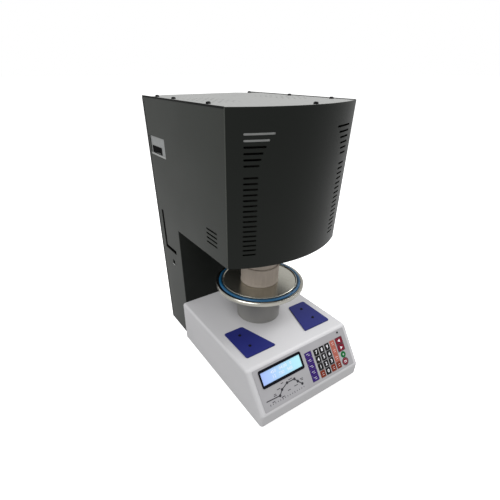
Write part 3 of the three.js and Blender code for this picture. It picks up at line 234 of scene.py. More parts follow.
def rod(shape, radius, length, sides, place=Matrix()):
    """A round bar in mm added to shape, put in place by a matrix; returns its corners."""
    return bmesh.ops.create_cone(
        shape,
        cap_ends=True,
        segments=sides,
        radius1=radius * MM,
        radius2=radius * MM,
        depth=length * MM,
        matrix=place,
    )["verts"]


# The strips are matt and nearly black, with hardly a sheen along their length.
edge_dark = surface(
    "dark_edge_strip", "0f100f", "151615", 0.6, 20, 0.8, 0.01, Specular_IOR_Level=0.1
)
# A lighter, duller grey than the coat: a painted highlight where the rounded corner catches light.
edge_highlight_grey = surface(
    "painted_edge_highlight", "494c47", "40433f", 0.45, 25, 0.9, 0.01, Specular_IOR_Level=0.3
)
for side, name in ((-1, "left"), (1, "right")):
    trims = bmesh.new()
    top_z = HEAD_TOP - TRIM_REACH / 2 + TRIM_TOP_PROUD
    top_place = moved_to(side * TRIM_X, TRIM_TOP_MIDDLE, top_z)
    block(trims, (TRIM, TRIM_TOP_LENGTH, TRIM_REACH), top_place)
    trim_y = TRIM_REAR_PROUD - TRIM_REACH / 2
    rear_place = moved_to(side * TRIM_X, trim_y, TRIM_REAR_MIDDLE)
    block(trims, (TRIM, TRIM_REACH, TRIM_REAR_LENGTH), rear_place)
    round_off(trims, EDGE_ROUND)
    piece(f"{name}_dark_edge_line", trims, "housing", [edge_dark], "black_plastic")
    bead = bmesh.new()
    bead_place = moved_to(side * BEAD_X, BEAD_Y, HEAD_MIDDLE)
    rod(bead, BEAD_RADIUS, HEAD_TOP - HEAD_FLOOR - BEAD_SHORTER, 20, bead_place)
    piece(f"{name}_corner_bead", bead, "housing", [edge_highlight_grey], "bare_sheet")


# Front cover: one steel sheet rolled to a wide bow and powder coated like the sides.
# Its cooling slots are laser cut in two columns, the upper ones longer.
HALF_WIDTH = 155
SHEET = 1.5
BOW_RADIUS = 289.444
BOW_CENTRE_Y = -127.556
BOW_HALF_ANGLE = math.asin(HALF_WIDTH / BOW_RADIUS)
BOW_STEPS = 96
SLOT_TOP = 616.5
SLOT_PITCH = 10.1
SLOT_ROWS = 23
SLOT_BLANK_ROW = 6
SLOT_HEIGHT = 3.6
SLOT_LENGTH = 28
SLOT_START_X = 128
SLOT_END_SHARE = 0.48
SLOT_CUT = 8 * SHEET
TOP_SLOT_LENGTHS = [57, 47.5, 41, 36, 32.5, 29.5]


def carved(shape, cutter):
    """shape with cutter taken away."""
    solids = []
    for part in (shape, cutter):
        mesh = bpy.data.meshes.new("carving")
        part.to_mesh(mesh)
        part.free()
        solids.append(bpy.data.objects.new("carving", mesh))
        bpy.context.scene.collection.objects.link(solids[-1])
    step = solids[0].modifiers.new("cut", "BOOLEAN")
    step.operation = "DIFFERENCE"
    step.solver = "EXACT"
    step.object = solids[1]
    graph = bpy.context.evaluated_depsgraph_get()
    result = bpy.data.meshes.new_from_object(solids[0].evaluated_get(graph))
    made = bmesh.new()
    made.from_mesh(result)
    for solid in solids:
        bpy.data.objects.remove(solid)
    bpy.data.meshes.remove(result)
    return made


def bowed(radius, thickness, low, high, half_angle, steps):
    """A sheet that follows the bow, from low to high."""
    shape = bmesh.new()
    left = -math.pi / 2 - half_angle
    corners = []
    for reach, z in (
        (radius, low),
        (radius, high),
        (radius - thickness, high),
        (radius - thickness, low),
    ):
        place = at(reach * math.cos(left), BOW_CENTRE_Y + reach * math.sin(left), z)
        corners.append(shape.verts.new(place))
    rim = [shape.edges.new((corners[i - 1], corners[i])) for i in range(4)]
    bmesh.ops.spin(
        shape,
        geom=corners + rim,
        cent=at(0, BOW_CENTRE_Y, 0),
        axis=(0, 0, 1),
        dvec=(0, 0, 0),
        angle=2 * half_angle,
        steps=steps,
        use_merge=False,
        use_duplicate=False,
    )
    bmesh.ops.holes_fill(shape, edges=[e for e in shape.edges if e.is_boundary], sides=4)
    bmesh.ops.recalc_face_normals(shape, faces=shape.faces)
    return shape


slots = bmesh.new()
for row in range(SLOT_ROWS):
    if row == SLOT_BLANK_ROW:
        continue
    length = TOP_SLOT_LENGTHS[row] if row < len(TOP_SLOT_LENGTHS) else SLOT_LENGTH
    middle = math.asin(SLOT_START_X / BOW_RADIUS) - length / 2 / BOW_RADIUS
    for side in (-1, 1):
        turn = Matrix.Rotation(side * middle, 4, "Z")
        place = moved_to(0, BOW_CENTRE_Y, SLOT_TOP - row * SLOT_PITCH)
        reach = Matrix.Translation((0, -(BOW_RADIUS - SHEET / 2) * MM, 0))
        corners = block(slots, (length, SLOT_CUT, SLOT_HEIGHT), place @ turn @ reach)
        axis = turn @ Vector((0, 1, 0))
        ends = {
            edge
            for vert in corners
            for edge in vert.link_edges
            if abs((edge.verts[1].co - edge.verts[0].co).normalized().dot(axis)) > 0.99
        }
        bmesh.ops.bevel(
            slots,
            geom=list(ends),
            offset=SLOT_END_SHARE * SLOT_HEIGHT * MM,
            segments=4,
            profile=0.5,
            affect="EDGES",
            material=-1,
        )
front = bowed(BOW_RADIUS, SHEET, HEAD_FLOOR, HEAD_TOP, BOW_HALF_ANGLE, BOW_STEPS)
round_off(front, EDGE_ROUND)
# The same coat with painted shade: darker here because the bow is turned from the light, and
# glossier.
front_coat_painted_shade = surface(
    "front_powder_coat_painted_shade", "181b18", "161916", 0.36, 140, 1.4, 0.03, Specular_IOR_Level=0.16
)
front = carved(front, slots)
piece("front_bow", front, "housing", [front_coat_painted_shade], "graphite_paint", "front_cover")


# Stiffener: a zinc-plated strip spot-welded behind the two uppermost slots on the left.
# It shows as two bright lines through the dark cover.
STRIP_GAP = 0.3
STRIP_THICKNESS = 2.5
STRIP_LOW = 603
STRIP_HIGH = 620.5
STRIP_HALF_LENGTH = 36
STRIP_MIDDLE_X = 98
STRIP_STEPS = 12
stiffener = bowed(
    BOW_RADIUS - SHEET - STRIP_GAP,
    STRIP_THICKNESS,
    STRIP_LOW,
    STRIP_HIGH,
    math.asin(STRIP_HALF_LENGTH / BOW_RADIUS),
    STRIP_STEPS,
)
bmesh.ops.rotate(
    stiffener,
    verts=stiffener.verts,
    cent=at(0, BOW_CENTRE_Y, 0),
    matrix=Matrix.Rotation(-math.asin(STRIP_MIDDLE_X / BOW_RADIUS), 3, "Z"),
)
# Fresh zinc under its clear finish is pale and satin, and only partly a metal to the eye.
bright_zinc = surface(
    "bright_zinc_strip", "a9aaa8", "979998", 0.4, 9, 0.9, 0.01, Metallic=0.3
)
round_off(stiffener, EDGE_ROUND)
piece("slot_stiffener", stiffener, "housing", [bright_zinc], "bare_sheet")


# Top plate: bare light grey sheet let in between the covers, with two fields of round holes.
# Black pan-head screws hold it down along both sides and at the middle of the bow.
PLATE_TOP = 655.2
PLATE_GAP = 0.3
PLATE_INSET = SHEET + PLATE_GAP
PLATE_HALF = HALF_WIDTH - PLATE_INSET
CORNER_X = 48
CORNER_Y = 45
HOLE_RADIUS = 2.6
HOLE_STEP = (15, 20)
HOLE_COUNT = (5, 7)
HOLE_FIELD = (92, -215)


def drawn_out(shape, rim, reach):
    """Closes a rim of corners with a face and draws it out into a solid, reach in mm."""
    face = shape.faces.new(rim)
    moved = bmesh.ops.extrude_face_region(shape, geom=[face])["geom"]
    corners = [part for part in moved if isinstance(part, bmesh.types.BMVert)]
    bmesh.ops.translate(shape, verts=corners, vec=Vector(reach) * MM)
    bmesh.ops.recalc_face_normals(shape, faces=shape.faces)
    return shape


plate = bmesh.new()
plate_radius = BOW_RADIUS - PLATE_INSET
plate_angle = math.asin(PLATE_HALF / plate_radius)
start = plate.verts.new(
    at(-PLATE_HALF, BOW_CENTRE_Y - plate_radius * math.cos(plate_angle), PLATE_TOP - SHEET)
)
bmesh.ops.spin(
    plate,
    geom=[start],
    cent=at(0, BOW_CENTRE_Y, 0),
    axis=(0, 0, 1),
    dvec=(0, 0, 0),
    angle=2 * plate_angle,
    steps=BOW_STEPS,
    use_duplicate=False,
)
arc = sorted(plate.verts, key=lambda vert: vert.co.x)
rear = [
    plate.verts.new(at(x, y, PLATE_TOP - SHEET))
    for x, y in (
        (PLATE_HALF, -CORNER_Y),
        (PLATE_HALF - CORNER_X, -PLATE_INSET),
        (CORNER_X - PLATE_HALF, -PLATE_INSET),
        (-PLATE_HALF, -CORNER_Y),
    )
]
drawn_out(plate, arc + rear, (0, 0, SHEET))
holes = bmesh.new()
for side in (-1, 1):
    for column in range(HOLE_COUNT[0]):
        for row in range(HOLE_COUNT[1]):
            x = side * HOLE_FIELD[0] + (column - (HOLE_COUNT[0] - 1) / 2) * HOLE_STEP[0]
            y = HOLE_FIELD[1] + (row - (HOLE_COUNT[1] - 1) / 2) * HOLE_STEP[1]
            rod(holes, HOLE_RADIUS, 6 * SHEET, 14, moved_to(x, y, PLATE_TOP))
# Galvanised sheet has a spangle a few millimetres wide and a dull, chalky sheen.
bare_sheet = surface(
    "bare_galvanised_sheet", "9b9c9a", "898a89", 0.5, 7, 0.8, 0.01, Specular_IOR_Level=0.2
)
plate = carved(round_off(plate, SHEET_ROUND), holes)
piece("top_sheet", plate, "housing", [bare_sheet], "bare_sheet", "top_plate")


def turned(profile, x, y, steps, width, closed=False):
    """A round solid about the upright line through (x, y) from (radius, z) points in mm."""
    shape = bmesh.new()
    ring = [shape.verts.new((radius * MM, 0, z * MM)) for radius, z in profile]
    chain = [shape.edges.new((ring[i], ring[i + 1])) for i in range(len(ring) - 1)]
    if closed:
        chain.append(shape.edges.new((ring[-1], ring[0])))
    bmesh.ops.spin(
        shape,
        geom=ring + chain,
        cent=(0, 0, 0),
        axis=(0, 0, 1),
        dvec=(0, 0, 0),
        angle=2 * math.pi,
        steps=steps,
        use_merge=True,
        use_duplicate=False,
    )
    bmesh.ops.remove_doubles(shape, verts=shape.verts, dist=0.000001)
    bmesh.ops.recalc_face_normals(shape, faces=shape.faces)
    bmesh.ops.translate(shape, verts=shape.verts, vec=at(x, y, 0))
    return round_off(shape, width) if width else shape


# Blackened steel looks sooty, without a bright rim.
screw_black = surface(
    "blackened_screw_steel", "0c0c0d", "131314", 0.6, 5, 0.5, 0.01, Specular_IOR_Level=0.1
)
PAN_HEAD = [(0, 1.6), (1.9, 1.6), (2.1, 3.6), (3.6, 3.2), (4.5, 1.8), (4.5, 0.02), (0, 0.02)]
TOP_SCREWS = [
    (-140, -57),
    (-140, -145),
    (-140, -293),
    (131, -30),
    (141, -183),
    (141, -318),
    (16, -401),
]


def screw_head(name, outline, x, y, seat):
    """A screw's head from (radius, height) points in mm above its seat."""
    head = turned([(radius, seat + height) for radius, height in outline], x, y, 24, 0)
    piece(name, head, "housing", [screw_black], "black_plastic")


for number, (x, y) in enumerate(TOP_SCREWS):
    screw_head(f"top_screw_{number}", PAN_HEAD, x, y, PLATE_TOP)


# Column, head floor and frame: satin black sheet, with a rear cover coated like the sides.
# The pan under the base and the tray behind the side window are zinc-plated steel.
# Satin paint on flat sheet is blacker than the powder coat and as evenly dull.
satin_black = surface(
    "satin_black_paint", "1f221f", "1a1c1a", 0.42, 120, 1.3, 0.03, Specular_IOR_Level=0.15
)
# Zinc plating is a cloudy light grey, with clouds about a centimetre wide.
zinc_plate = surface(
    "zinc_plated_steel", "a2a4a3", "8c8f8f", 0.42, 11, 1.0, 0.01, Metallic=0.5
)
redressed("head_floor_sheet", "head_floor_plate", SHEET_ROUND, satin_black, "deep_paint")
redressed("column_front_sheet", "column_front_plate", SHEET_ROUND, satin_black, "deep_paint")
redressed("rear_sheet", "rear_cover", THIN_ROUND, graphite, "graphite_paint")
redressed("frame_channel", "column_frame", EDGE_ROUND, satin_black, "deep_paint")
redressed("pan_sheet", "base_pan", EDGE_ROUND, zinc_plate, "bare_sheet")


# Power rocker: a moulded cap in a tray behind the window of the left cover.
# A thin surround frames it, and a bright lip closes the window's lower edge.
# Nylon is a very dull black that swallows most of the light in the window.
black_moulding = surface(
    "black_nylon", "0a0a0b", "101011", 0.7, 12, 0.6, 0.015, Specular_IOR_Level=0.05
)
WINDOW_Y = -58
WINDOW_Z = 553
WINDOW_LENGTH = 88
ROCKER_PLACE = (-151.2, -51, 545)
ROCKER_HOLE = (9, 45.6, 14.6)
ROCKER_ROUND = 0.8
TRAY_ROUND = 0.4
TRAY_THICKNESS = 4
TRAY_LAP = 6
TRAY_HEIGHT = 49
SURROUND_THICKNESS = 1.2
SURROUND_OUT = 2.6
SURROUND_LONGER = 10
SURROUND_HIGHER = 1.6
LIP_X = -154.1
LIP_Z = 534.1
LIP_THICKNESS = 1.6
LIP_HEIGHT = 4.4
LIP_SHORTER = 2


def pierced(size, place, hole_place):
    """A rounded block with the rocker's hole through it, size in mm."""
    shape, hole = bmesh.new(), bmesh.new()
    block(shape, size, place)
    block(hole, ROCKER_HOLE, hole_place)
    return carved(round_off(shape, TRAY_ROUND), hole)


def zinc_tab(name, size, place):
    """A small block of bright zinc with rounded edges, in mm."""
    tab = bmesh.new()
    block(tab, size, moved_to(*place))
    round_off(tab, EDGE_ROUND)
    piece(name, tab, "housing", [bright_zinc], "bare_sheet")


redressed(
    "rocker_cap", "power_rocker", ROCKER_ROUND, black_moulding, "black_plastic", "rocker", 3
)
surround_place = moved_to(ROCKER_PLACE[0] - SURROUND_OUT, *ROCKER_PLACE[1:])
surround_size = (
    SURROUND_THICKNESS,
    ROCKER_HOLE[1] + SURROUND_LONGER,
    ROCKER_HOLE[2] + SURROUND_HIGHER,
)
surround = pierced(surround_size, surround_place, surround_place)
piece("switch_surround", surround, "housing", [black_moulding], "black_plastic")
tray_size = (TRAY_THICKNESS, WINDOW_LENGTH + TRAY_LAP, TRAY_HEIGHT)
tray_place = moved_to(ROCKER_PLACE[0], WINDOW_Y, WINDOW_Z)
tray = pierced(tray_size, tray_place, moved_to(*ROCKER_PLACE))
piece("switch_plate", tray, "housing", [zinc_plate], "bare_sheet")
lip_size = (LIP_THICKNESS, WINDOW_LENGTH - LIP_SHORTER, LIP_HEIGHT)
zinc_tab("switch_plate_lip", lip_size, (LIP_X, WINDOW_Y, LIP_Z))


# L-shaped slot and port in the left cover: a black sheet behind the slot is painted shade for its
# dark inside.
# A black rim round the slot widens that dark line; the zinc tongue under the port is a painted
# glint.
SLIT_REAR = -29.25
SLIT_FRONT = -36.75
SLIT_REACH = -95
SLIT_LOW = 282.5
SLIT_HIGH = 290
SLIT_TOP = 391
LINING = (-154.2, 0.6, -0.1)
EDGING = (-155.3, 0.28, 1.5)
EDGING_CUT = (-156, 1.5, 0)
GLINT_TONGUE_SIZE = (1.2, 16, 2.6)
GLINT_TONGUE_PLACE = (-155.7, -71.5, 241.4)


def cornered(x, thickness, growth):
    """A strip as wide as the L-shaped slot in the left cover plus growth on each side."""
    rear, front, reach = SLIT_REAR + growth, SLIT_FRONT - growth, SLIT_REACH - growth
    low, high, top = SLIT_LOW - growth, SLIT_HIGH + growth, SLIT_TOP + growth
    strip = bmesh.new()
    points = ((rear, top), (front, top), (front, high), (reach, high), (reach, low), (rear, low))
    return drawn_out(strip, [strip.verts.new(at(x, y, z)) for y, z in points], (thickness, 0, 0))


# Painted shade: a black that throws nothing back, so the slot reads as a plain black line.
slot_shade_black = surface("painted_slot_shade", "050505", "080808", 0.9, 6, 0.5, 0.05, Specular_IOR_Level=0.0)
piece("slot_lining", cornered(*LINING), "housing", [slot_shade_black], "black_plastic")
edging = carved(cornered(*EDGING), cornered(*EDGING_CUT))
piece("slot_edging", edging, "housing", [slot_shade_black], "black_plastic")
# A bright zinc tongue along the port's lower edge stands for a glint there: a painted highlight.
zinc_tab("port_glint_tongue", GLINT_TONGUE_SIZE, GLINT_TONGUE_PLACE)


# Mains inlet and hose nipple: a moulded socket with three flat contact blades.
# The nipple is a turned brass barb for the vacuum hose.
INLET_ROUND = 0.5
BLADE_SIZE = (1.8, 13, 4)
BLADE_Y = -7.2
BLADES = ((88, 59.5), (95, 65), (102, 59.5))
redressed("inlet_moulding", "mains_inlet", INLET_ROUND, black_moulding, "black_plastic")
blades = bmesh.new()
for x, z in BLADES:
    block(blades, BLADE_SIZE, moved_to(x, BLADE_Y, z))
round_off(blades, EDGE_ROUND)
piece("inlet_blades", blades, "housing", [zinc_plate], "satin_steel")
# Turned brass keeps its lathe marks, which run round the barb.
brass = surface(
    "turned_brass", "b8924a", "a9843e", 0.28, 6, 0.5, 0.008, (0.2, 6, 0.2), Metallic=1.0
)
redressed("nipple_barb", "hose_nipple", SHEET_ROUND, brass, "brass", crease=50)


# Base: one folded steel housing with rounded folds, white powder coat.
# The slope is cut out for the display and the keys, the deck for the lift's guide.
DECK = 137
CREASE_Y = -458
NOSE_Y = -527
NOSE_Z = 42
BASE_BOTTOM = 8
BASE_REAR_Y = -128.3
BASE_HALF = 165
BASE_WALL = 2.2
CREASE_FOLD = 6.1
NOSE_FOLD = 3.3
RIM_FOLD = 7.5
RUN = CREASE_Y - NOSE_Y
DROP = DECK - NOSE_Z
SLOPE = math.hypot(RUN, DROP)
PANEL = moved_to(0, CREASE_Y, DECK) @ Matrix(
    (
        (1, 0, 0, 0),
        (0, RUN / SLOPE, -DROP / SLOPE, 0),
        (0, DROP / SLOPE, RUN / SLOPE, 0),
        (0, 0, 0, 1),
    )
)


def on_panel(x, y, z):
    """A place on the slope in mm: across, up the slope and out of it."""
    return PANEL @ Matrix.Translation(Vector((x, y, z)) * MM)


def bevelled(shape, chosen, width, segments):
    """Rounds the chosen edges, width in mm."""
    bmesh.ops.bevel(
        shape,
        geom=chosen,
        offset=width * MM,
        segments=segments,
        profile=0.5,
        affect="EDGES",
        material=-1,
    )


base = bmesh.new()
profile = [
    base.verts.new(at(-BASE_HALF, y, z))
    for y, z in (
        (BASE_REAR_Y, DECK),
        (CREASE_Y, DECK),
        (NOSE_Y, NOSE_Z),
        (NOSE_Y, BASE_BOTTOM),
        (BASE_REAR_Y, BASE_BOTTOM),
    )
]
drawn_out(base, profile, (2 * BASE_HALF, 0, 0))


def folds(shape, y, z):
    """The edges that run across the base at (y, z)."""
    spot = at(0, y, z)
    return [
        edge
        for edge in shape.edges
        if all((vert.co - spot).yz.length < 0.0001 for vert in edge.verts)
    ]


bevelled(base, folds(base, CREASE_Y, DECK), CREASE_FOLD, 8)
bevelled(base, folds(base, NOSE_Y, NOSE_Z), NOSE_FOLD, 6)
rims = [
    edge
    for edge in base.edges
    if abs(edge.verts[0].co.x - edge.verts[1].co.x) < 1e-6
    and all(abs(abs(vert.co.x) - BASE_HALF * MM) < 1e-6 for vert in edge.verts)
    and not all(abs(vert.co.z - BASE_BOTTOM * MM) < 1e-6 for vert in edge.verts)
    and not all(abs(vert.co.y - at(0, BASE_REAR_Y, 0).y) < 1e-6 for vert in edge.verts)
]
bevelled(base, rims, RIM_FOLD, 8)
bottom_z = at(0, 0, BASE_BOTTOM).z
rear_y = at(0, BASE_REAR_Y, 0).y
hidden = [
    face
    for face in base.faces
    if all(abs(vert.co.z - bottom_z) < 1e-5 for vert in face.verts)
    or all(abs(vert.co.y - rear_y) < 1e-5 for vert in face.verts)
]
bmesh.ops.delete(base, geom=hidden, context="FACES")
bmesh.ops.solidify(base, geom=base.faces[:], thickness=BASE_WALL * MM)
bmesh.ops.recalc_face_normals(base, faces=base.faces)
DISPLAY = (-72, -34.4)
DISPLAY_SIZE = (127.5, 41.5)
KEY_FIELD = ((3, 138), (-104.2, -23))
LIFT_Y = -280
GUIDE_RADIUS = 33
CUT_PLAY = 1
PANEL_CUT = 12
DECK_CUT = 14
cutouts = bmesh.new()
display_cut = (DISPLAY_SIZE[0] + CUT_PLAY, DISPLAY_SIZE[1] + CUT_PLAY, PANEL_CUT)
block(cutouts, display_cut, on_panel(*DISPLAY, 0))
(field_left, field_right), (field_low, field_high) = KEY_FIELD
block(
    cutouts,
    (field_right - field_left, field_high - field_low, PANEL_CUT),
    on_panel((field_left + field_right) / 2, (field_low + field_high) / 2, 0),
)
rod(cutouts, GUIDE_RADIUS, DECK_CUT, 64, moved_to(0, LIFT_Y, DECK))
# White powder coat is a cool, pale grey in shade, and its sheen softens every reflection.
white_coat = surface(
    "white_powder_coat", "cbcacc", "c3c3c5", 0.4, 160, 1.4, 0.03, Specular_IOR_Level=0.35
)
piece("base_housing", carved(base, cutouts), "housing", [white_coat], "white_paint", "base_shell")


# Feet: four moulded rubber buffers under the pan, slightly dished below.
# Each is screwed on through its middle and carries the furnace clear of the bench.
# Filled rubber is dark grey rather than black and has no gloss.
rubber = surface("black_rubber", "1a1a1b", "222223", 0.8, 10, 0.7, 0.04)
BUFFER = [(0, 1), (5, 1), (6, 0), (10, 0), (12, 7.7), (0, 7.7)]
for name, x, y in (
    ("front_left", -130, -490),
    ("front_right", 130, -490),
    ("rear_left", -130, -40),
    ("rear_right", 130, -40),
):
    buffer = turned(BUFFER, x, y, 48, 0.5)
    piece(f"buffer_{name}", buffer, "housing", [rubber], "rubber", f"foot_{name}")


# Panel: a printed polyester film on the slope, display and keys standing through it.
# Its print is a generic firing curve below the display, over a scale.
# Polyester film is a smooth, cool grey with a soft sheen.
film = surface(
    "polyester_film", "a9a8ab", "a09fa2", 0.5, 40, 0.9, 0.01, Specular_IOR_Level=0.3
)
# Screen print lies flat and as dull as the film, in a black with a hint of violet.
print_black = surface("black_print", "1b1820", "242129", 0.5, 8, 0.6, 0.004)
FILM_TOP = 1.2
FILM_ROUND = 0.12
CURVE = [
    (-140, -87.5),
    (-99.7, -89.4),
    (-89.3, -78.3),
    (-70, -69.2),
    (-46.8, -69.5),
    (-39.4, -79),
    (-28.7, -90),
]
CURVE_WIDTH = 2.5
CURVE_RISE, CURVE_DEPTH = 0.06, 0.1
DOT_RADIUS = 3.6
DOT_RISE, DOT_DEPTH = 0.08, 0.14
INK_RISE, INK_DEPTH = 0.05, 0.08
# Short bars stand for the curve's small print: (x, y, length).
TICKS = [
    (-112, -84, 9),
    (-112, -80.5, 7),
    (-98, -73, 10),
    (-84, -64, 8),
    (-58, -64.5, 12),
    (-27, -77, 9),
    (-26, -80.5, 7),
    (-121, -95.5, 8),
    (-92, -95.5, 10),
    (-70, -88, 9),
    (-48, -86, 11),
]
TICK_HEIGHT = 1.8
SCALE_START = (-132, -99.5)
SCALE_PITCH = 7.5
SCALE_MARKS = 15
SCALE_LONG_EVERY = 5
SCALE_WIDTH, SCALE_SHORT, SCALE_LONG = 1.6, 2.8, 4.6
PANEL_SCREW = [(0, 1.2), (2.6, 1.2), (2.6, 0.05), (0, 0.05)]
PANEL_SCREW_PLACE = (127.5, -13)
redressed("panel_film", "panel_overlay", FILM_ROUND, film, "overlay", segments=1)
print_marks = bmesh.new()
for (x0, y0), (x1, y1) in zip(CURVE, CURVE[1:]):
    turn = Matrix.Rotation(math.atan2(y1 - y0, x1 - x0), 4, "Z")
    middle = on_panel((x0 + x1) / 2, (y0 + y1) / 2, FILM_TOP + CURVE_RISE)
    stroke = (math.dist((x0, y0), (x1, y1)), CURVE_WIDTH, CURVE_DEPTH)
    block(print_marks, stroke, middle @ turn)
for x, y in CURVE[1:]:
    rod(print_marks, DOT_RADIUS, DOT_DEPTH, 20, on_panel(x, y, FILM_TOP + DOT_RISE))
for x, y, length in TICKS:
    tick_place = on_panel(x, y, FILM_TOP + INK_RISE)
    block(print_marks, (length, TICK_HEIGHT, INK_DEPTH), tick_place)
for step in range(SCALE_MARKS):
    mark_place = on_panel(SCALE_START[0] + SCALE_PITCH * step, SCALE_START[1], FILM_TOP + INK_RISE)
    mark_height = SCALE_SHORT if step % SCALE_LONG_EVERY else SCALE_LONG
    block(print_marks, (SCALE_WIDTH, mark_height, INK_DEPTH), mark_place)
piece("firing_curve_print", print_marks, "housing", [print_black], "black_plastic")
panel_screw = turned(PANEL_SCREW, 0, 0, 24, EDGE_ROUND)
bmesh.ops.translate(panel_screw, verts=panel_screw.verts, vec=-at(0, 0, 0))
screw_place = on_panel(*PANEL_SCREW_PLACE, FILM_TOP)
bmesh.ops.transform(panel_screw, matrix=screw_place, verts=panel_screw.verts)
piece("panel_screw", panel_screw, "housing", [screw_black], "black_plastic")

# Solder-stop lacquer is a glossy, deep green; the board lies hidden under the film.
lacquer = surface("circuit_board_lacquer", "2a6a45", "215a39", 0.35, 20, 0.6, 0.01)
redressed("board_sheet", "control_board", THIN_ROUND, lacquer, "board", segments=1)


# Display: a moulded black frame in the film, round a pale blue screen lit from behind.
# Its white figures are generic times and temperatures.
# The moulded frame is satin black with a blue cast from the screen's light.
frame_black = surface(
    "black_abs_bezel", "08080f", "0d0d16", 0.55, 12, 0.6, 0.01, Specular_IOR_Level=0.08
)
BEZEL_SIZE = (131, 45.4)
BEZEL_TOP = 2.4
BEZEL_SEAT = FILM_TOP + 0.05
BEZEL_CORNER = 5
BEZEL_ROUND = 0.4
NECK_PLAY = 0.6
NECK_LOW = -3
SCREEN_OPENING = (121.5, 32)
SCREEN_CUT = 14
SCREEN_PLAY = 0.2
SCREEN_TOP = 0.6
SCREEN_LOW = -3.4
LEAST_UPRIGHT = 0.5


def uprights(shape, corners):
    """The upright edges between some corners of shape."""
    chosen = set(corners)
    return [
        edge
        for edge in shape.edges
        if edge.verts[0] in chosen
        and abs(edge.verts[0].co.z - edge.verts[1].co.z) > LEAST_UPRIGHT * MM
    ]


bezel = bmesh.new()
for width, height, low, high in (
    (*BEZEL_SIZE, BEZEL_SEAT, BEZEL_TOP),
    (DISPLAY_SIZE[0] - NECK_PLAY, DISPLAY_SIZE[1] - NECK_PLAY, NECK_LOW, BEZEL_SEAT),
):
    middle = Vector((*DISPLAY, (low + high) / 2)) * MM
    corners = block(bezel, (width, height, high - low), Matrix.Translation(middle))
    bevelled(bezel, uprights(bezel, corners), BEZEL_CORNER, 8)
opening = bmesh.new()
block(opening, (*SCREEN_OPENING, SCREEN_CUT), Matrix.Translation(Vector((*DISPLAY, 0)) * MM))
bezel = carved(bezel, opening)
bmesh.ops.remove_doubles(bezel, verts=bezel.verts, dist=0.000005)
round_off(bezel, BEZEL_ROUND, 2, 60)
bmesh.ops.transform(bezel, matrix=PANEL, verts=bezel.verts)
piece("display_bezel", bezel, "housing", [frame_black], "black_plastic", "display_frame")
# The lit glass glows evenly, from violet blue on the left to a greener blue on the right.
GLOW_LEFT = -132
GLOW_RIGHT = -12
lit = surface("lit_display_glass", "8fb2ea", "a0c6f2", 0.3, 26, 1.1, 0.003, Specular_IOR_Level=0.3)
lit_tree = lit.node_tree
lit_shader = next(n for n in lit_tree.nodes if n.type == "BSDF_PRINCIPLED")
lit_place = next(n for n in lit_tree.nodes if n.type == "TEX_COORD")
across = add_node(
    lit_tree, "ShaderNodeSeparateXYZ", {"Vector": lit_place.outputs["Object"]}
)
glow_share = add_node(
    lit_tree,
    "ShaderNodeMapRange",
    {"Value": across.outputs["X"], "From Min": GLOW_LEFT * MM, "From Max": GLOW_RIGHT * MM},
)
tints = {"Color1": linear("9bb0e6"), "Color2": linear("a9dde6")}
glow = add_node(lit_tree, "ShaderNodeMixRGB", {"Fac": glow_share.outputs["Result"], **tints})
lit_tree.links.new(glow.outputs["Color"], lit_shader.inputs["Base Color"])
lit_tree.links.new(glow.outputs["Color"], lit_shader.inputs["Emission Color"])
lit_shader.inputs["Emission Strength"].default_value = 0.25
glass = bmesh.new()
glass_sides = [length - SCREEN_PLAY for length in SCREEN_OPENING]
glass_place = on_panel(*DISPLAY, (SCREEN_TOP + SCREEN_LOW) / 2)
block(glass, (*glass_sides, SCREEN_TOP - SCREEN_LOW), glass_place)
round_off(glass, SCREEN_PLAY, 1)
piece("display_glass", glass, "housing", [lit], "lit_screen", "display_screen")


def lettering(text, size, place, depth=0.12, bold=0.0):
    """Figures as a bmesh, size in mm, put in place by a matrix."""
    line = bpy.data.curves.new("figures", "FONT")
    line.body = text
    line.size = size * MM
    line.extrude = depth / 2 * MM
    line.align_x = "CENTER"
    line.align_y = "CENTER"
    line.resolution_u = 3
    line.offset = bold * MM
    holder = bpy.data.objects.new("figures", line)
    bpy.context.scene.collection.objects.link(holder)
    graph = bpy.context.evaluated_depsgraph_get()
    mesh = bpy.data.meshes.new_from_object(holder.evaluated_get(graph))
    shape = bmesh.new()
    shape.from_mesh(mesh)
    bmesh.ops.remove_doubles(shape, verts=shape.verts, dist=0.000001)
    bmesh.ops.transform(shape, matrix=place, verts=shape.verts)
    bpy.data.objects.remove(holder)
    bpy.data.meshes.remove(mesh)
    return shape


FIGURES = (("450   04:00   0", -28.5), ("12   730   960", -40.5))
FIGURE_SIZE = 11
FIGURE_RISE = 0.07
# The figures are clear cells of the screen, so they show the lamp's bluish white.
figure_white = surface("lit_white_figures", "f4f8ff", "eaf2ff", 0.3, 9, 0.6, 0.002)
for row, (text, y) in enumerate(FIGURES):
    line = lettering(text, FIGURE_SIZE, on_panel(DISPLAY[0], y, SCREEN_TOP + FIGURE_RISE))
    piece(f"display_figures_{row}", line, "housing", [figure_white], "lit_screen")


# Keys: moulded silicone caps that stand through the film, coloured right through.
# Digits, arrows and bars are printed on them in white.
KEY_TOP = 1.9
KEY_LOW = -3.5
KEY_SIZE = (14, 16)
FUNCTION_SIZE = (20, 14)
ARROW_SIZE = (22, 16)
ROUND_KEY_RADIUS = 8.5
KEY_CORNER = 1.6
KEY_ROUND = 0.5
STEP = (19.6, 19.8)
FIRST = (41.5, -35.5)
FUNCTION_FIRST = (15, -32)
FUNCTION_STEP = 15.8
ARROW_X = 125
DIGIT_SIZE = 12.5
DIGIT_BOLD = 0.35
ARROW_RADIUS = 5.2
MARK_RISE = 0.05
MARK_DEPTH = 0.12
KEY_COLOURS = {
    "key_purple": ("301a63", "3a2170"),
    "key_black": ("0b0b0d", "111113"),
    "key_orange": ("7b3323", "732e1e"),
    "key_salmon": ("b4685a", "aa6153"),
    "key_maroon": ("70182a", "7c1f31"),
    "key_green": ("126130", "166a37"),
    "key_red": ("74192b", "7e1d31"),
}
